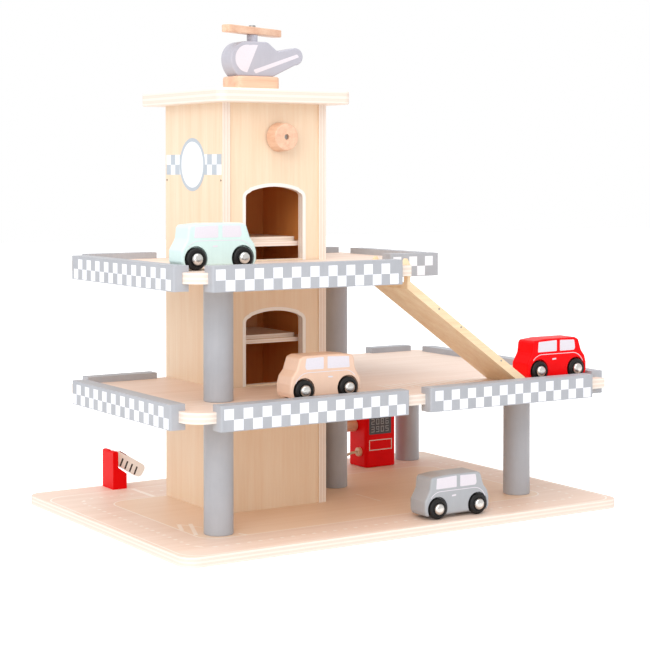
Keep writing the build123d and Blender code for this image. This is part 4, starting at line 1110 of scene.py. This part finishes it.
def segment_bar(letter, u, v):
    """One bar of a seven-bar digit whose lower left corner is (u, v)."""
    half = DIGIT_HEIGHT / 2
    upright = half - DIGIT_LINE
    right = u + DIGIT_WIDTH - DIGIT_LINE
    bars = {"a": bar(u, v + DIGIT_HEIGHT - DIGIT_LINE, DIGIT_WIDTH, DIGIT_LINE),
            "g": bar(u, v + half - DIGIT_LINE / 2, DIGIT_WIDTH, DIGIT_LINE),
            "d": bar(u, v, DIGIT_WIDTH, DIGIT_LINE),
            "b": bar(right, v + half, DIGIT_LINE, upright),
            "c": bar(right, v + DIGIT_LINE, DIGIT_LINE, upright),
            "f": bar(u, v + half, DIGIT_LINE, upright),
            "e": bar(u, v + DIGIT_LINE, DIGIT_LINE, upright)}
    return bars[letter]


def build_digits(made):
    for v, numbers in DIGIT_ROWS:
        for column, number in enumerate(numbers):
            for letter in SEGMENTS[number]:
                add_prism(made, segment_bar(letter, DIGIT_START + column * DIGIT_STEP, v),
                          lambda a, b, depth: pump_point(a, b, depth + PRINT_THICKNESS / 2),
                          PRINT_THICKNESS)


def build_label(made):
    (left, low), (right, _), (_, high), _ = PUMP_LABEL
    for outline in (bar(left, low, right - left, LABEL_LINE),
                    bar(left, high - LABEL_LINE, right - left, LABEL_LINE),
                    bar(left, low + LABEL_LINE, LABEL_LINE, high - low - 2 * LABEL_LINE),
                    bar(right - LABEL_LINE, low + LABEL_LINE, LABEL_LINE,
                        high - low - 2 * LABEL_LINE)):
        add_prism(made, outline, pump_point, PRINT_THICKNESS)


def build_panel(made):
    add_prism(made, PUMP_PANEL, pump_point, PRINT_THICKNESS)


add_piece("pump_panel", mesh_of("pump_panel", build_panel),
          printed("pump panel print", PANEL_DARK), "garage")
add_piece("pump_digits", mesh_of("pump_digits", build_digits),
          printed("pump digit print", DIGIT_GREY), "garage")
add_piece("pump_label", mesh_of("pump_label", build_label),
          printed("pump label print", LABEL_PALE), "garage")

# ------------------------------------------------------------- barrier arm
arm_low, arm_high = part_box("barrier_arm")
pin_low, pin_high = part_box("barrier_pin")
pivot = (pin_low + pin_high) / 2
ARM_DROOP = 32.0
STRIPES = 4
STRIPE_STEP = 6.45
STRIPE_WIDTH = 1.9
STRIPE_TOP = (13.6, 1.6)
STRIPE_FOOT = (14.9, -6.8)
ARM_MARK = (6.4, 15.4)
ARM_MARK_TOP = 6.9
ARM_MARK_WIDTH = 0.8


def arm_point(side, u, v, depth):
    """On the arm: u along it from the pivot, v across it, side -1 or 1 along Y."""
    droop = math.radians(ARM_DROOP)
    y = arm_high.y if side > 0 else arm_low.y
    return (pivot.x + (u * math.cos(droop) + v * math.sin(droop)) * MM,
            y + side * (depth - PRINT_THICKNESS / 4),
            pivot.z + (-u * math.sin(droop) + v * math.cos(droop)) * MM)


def build_stripes(made):
    half = STRIPE_WIDTH / 2
    for side in (-1, 1):
        for count in range(STRIPES):
            shift = count * STRIPE_STEP
            top, top_v = STRIPE_TOP[0] + shift, STRIPE_TOP[1]
            foot, foot_v = STRIPE_FOOT[0] + shift, STRIPE_FOOT[1]
            add_prism(made, [(foot - half, foot_v), (foot + half, foot_v),
                             (top + half, top_v), (top - half, top_v)],
                      partial(arm_point, side), PRINT_THICKNESS)


# A thin dark red line on each face of the arm, above the stripes
def build_arm_mark(made):
    for side in (-1, 1):
        add_prism(made, bar(ARM_MARK[0], ARM_MARK_TOP - ARM_MARK_WIDTH, ARM_MARK[1] - ARM_MARK[0],
                            ARM_MARK_WIDTH), partial(arm_point, side), PRINT_THICKNESS)


add_piece("barrier_stripes", mesh_of("barrier_stripes", build_stripes),
          printed("stripe print", STRIPE_DARK), "barrier_arm")
add_piece("barrier_mark", mesh_of("barrier_mark", build_arm_mark),
          printed("dark red arm line", srgb(150, 24, 36)), "barrier_arm")

# ------------------------------------------------------- nails and pins
strips_low, strips_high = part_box("ramp_strips")
NAIL_RADIUS = 0.9 * MM
NAIL_HEIGHT = 0.25 * MM
NAILS_ALONG = (40.7, 67.1, 116.5)
NAIL_BELOW = 3.2 * MM
mid_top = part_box("mid_deck")[1].z
board_low, board_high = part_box("ramp_board")


def build_nails(made):
    """Round nail heads along both strips, a little below their top line."""
    slope = (board_high.z - board_low.z) / (board_high.x - board_low.x)
    for from_head in NAILS_ALONG:
        x = strips_low.x + from_head * MM
        z = mid_top + (strips_high.x - x) * slope - NAIL_BELOW
        for y, side in ((strips_low.y, -1), (strips_high.y, 1)):
            add_lathe(made, [(-NAIL_HEIGHT, NAIL_RADIUS), (NAIL_HEIGHT * 0.5, NAIL_RADIUS),
                             (NAIL_HEIGHT, NAIL_RADIUS * 0.6), (NAIL_HEIGHT, 0.0)],
                      lambda along, a, b: (x + a, y + side * along, z + b), 16)


add_piece("ramp_nails", mesh_of("ramp_nails", build_nails),
          metal("nail head", STEEL, PIN_DARK, 0.4), "garage", smooth=40)

# ------------------------------------------------------- stage and lights
# The camera stands where the photograph was taken; its lens and place were
# solved from the straight edges, in the photograph's 650 by 650 frame.
FRAME_PIXELS = 650
FOCAL_PIXELS = 1689.24
SENSOR = 36.0
CAMERA_PLACE = (-0.93013, -1.45599, 0.34326)
CAMERA_TURN = -32.69
HORIZON_DROP = 154.6
CAMERA_SHIFT = 0.18

camera = bpy.data.cameras.new("camera")
camera.sensor_width = SENSOR
camera.lens = FOCAL_PIXELS / FRAME_PIXELS * SENSOR
camera.shift_y = -CAMERA_SHIFT
camera.clip_start = 0.05
camera.clip_end = 30.0
camera.dof.use_dof = False
camera_object = add_object("camera", camera)
camera_object.location = CAMERA_PLACE
camera_pitch = math.atan((HORIZON_DROP - CAMERA_SHIFT * FRAME_PIXELS) / FOCAL_PIXELS)
camera_object.rotation_euler = (math.pi / 2 - camera_pitch, 0.0, math.radians(CAMERA_TURN))
bpy.context.scene.camera = camera_object

FLOOR_HALF = 6.0
FLOOR_BELOW = 0.0005
FLOOR_GREY = (0.86, 0.86, 0.86, 1.0)
FLOOR_GLOW = 0.55
WHITE = (1.0, 1.0, 1.0, 1.0)


def background_rays(tree):
    """1 for rays that see the backdrop straight, in a reflection or through glass."""
    path = tree.nodes.new("ShaderNodeLightPath")
    seen = calc(tree, "MAXIMUM", path.outputs["Is Camera Ray"], path.outputs["Is Glossy Ray"])
    return calc(tree, "MAXIMUM", seen, path.outputs["Is Transmission Ray"])


def build_floor(made):
    corners = [made.verts.new((x * FLOOR_HALF, y * FLOOR_HALF, 0.0))
               for x, y in ((-1, -1), (1, -1), (1, 1), (-1, 1))]
    made.faces.new(corners)


floor_mesh = mesh_of("floor", build_floor)
floor = add_object("floor", floor_mesh)
floor.location.z = -FLOOR_BELOW
floor_finish = Finish("pale floor", 0.9)
floor_finish.shader.inputs["Base Color"].default_value = FLOOR_GREY
floor_finish.shader.inputs["Emission Color"].default_value = WHITE
floor_tree = floor_finish.tree
floor_glow = calc(floor_tree, "MULTIPLY", background_rays(floor_tree), FLOOR_GLOW)
floor_tree.links.new(floor_glow, floor_finish.shader.inputs["Emission Strength"])
floor_mesh.materials.append(floor_finish.material)

world = bpy.data.worlds.new("studio")
bpy.context.scene.world = world
world.use_nodes = True
world_tree = world.node_tree
world_tree.nodes.clear()
WORLD_LIGHT = 0.95
plain_light = add_node(world_tree, "ShaderNodeBackground",
                       {"Color": WHITE, "Strength": WORLD_LIGHT})
white_back = add_node(world_tree, "ShaderNodeBackground",
                      {"Color": WHITE, "Strength": 1.0})
either = add_node(world_tree, "ShaderNodeMixShader",
                  {0: background_rays(world_tree), 1: plain_light.outputs[0],
                   2: white_back.outputs[0]})
world_out = world_tree.nodes.new("ShaderNodeOutputWorld")
world_tree.links.new(either.outputs[0], world_out.inputs["Surface"])


def add_softbox(name, place, size, power, aim=(0.0, 0.0, 0.2)):
    """Square area lamp that faces a point."""
    lamp = bpy.data.lights.new(name, "AREA")
    lamp.shape = "SQUARE"
    lamp.size = size
    lamp.energy = power
    made = add_object(name, lamp)
    made.location = place
    made.rotation_euler = (Vector(aim) - Vector(place)).to_track_quat("-Z", "Y").to_euler()
    return made


add_softbox("overhead softbox", (-0.5, -0.6, 2.2), 1.6, 17.0)
add_softbox("front softbox", (-1.9, -1.7, 1.3), 1.4, 24.0)

bpy.context.scene.view_settings.view_transform = "Standard"
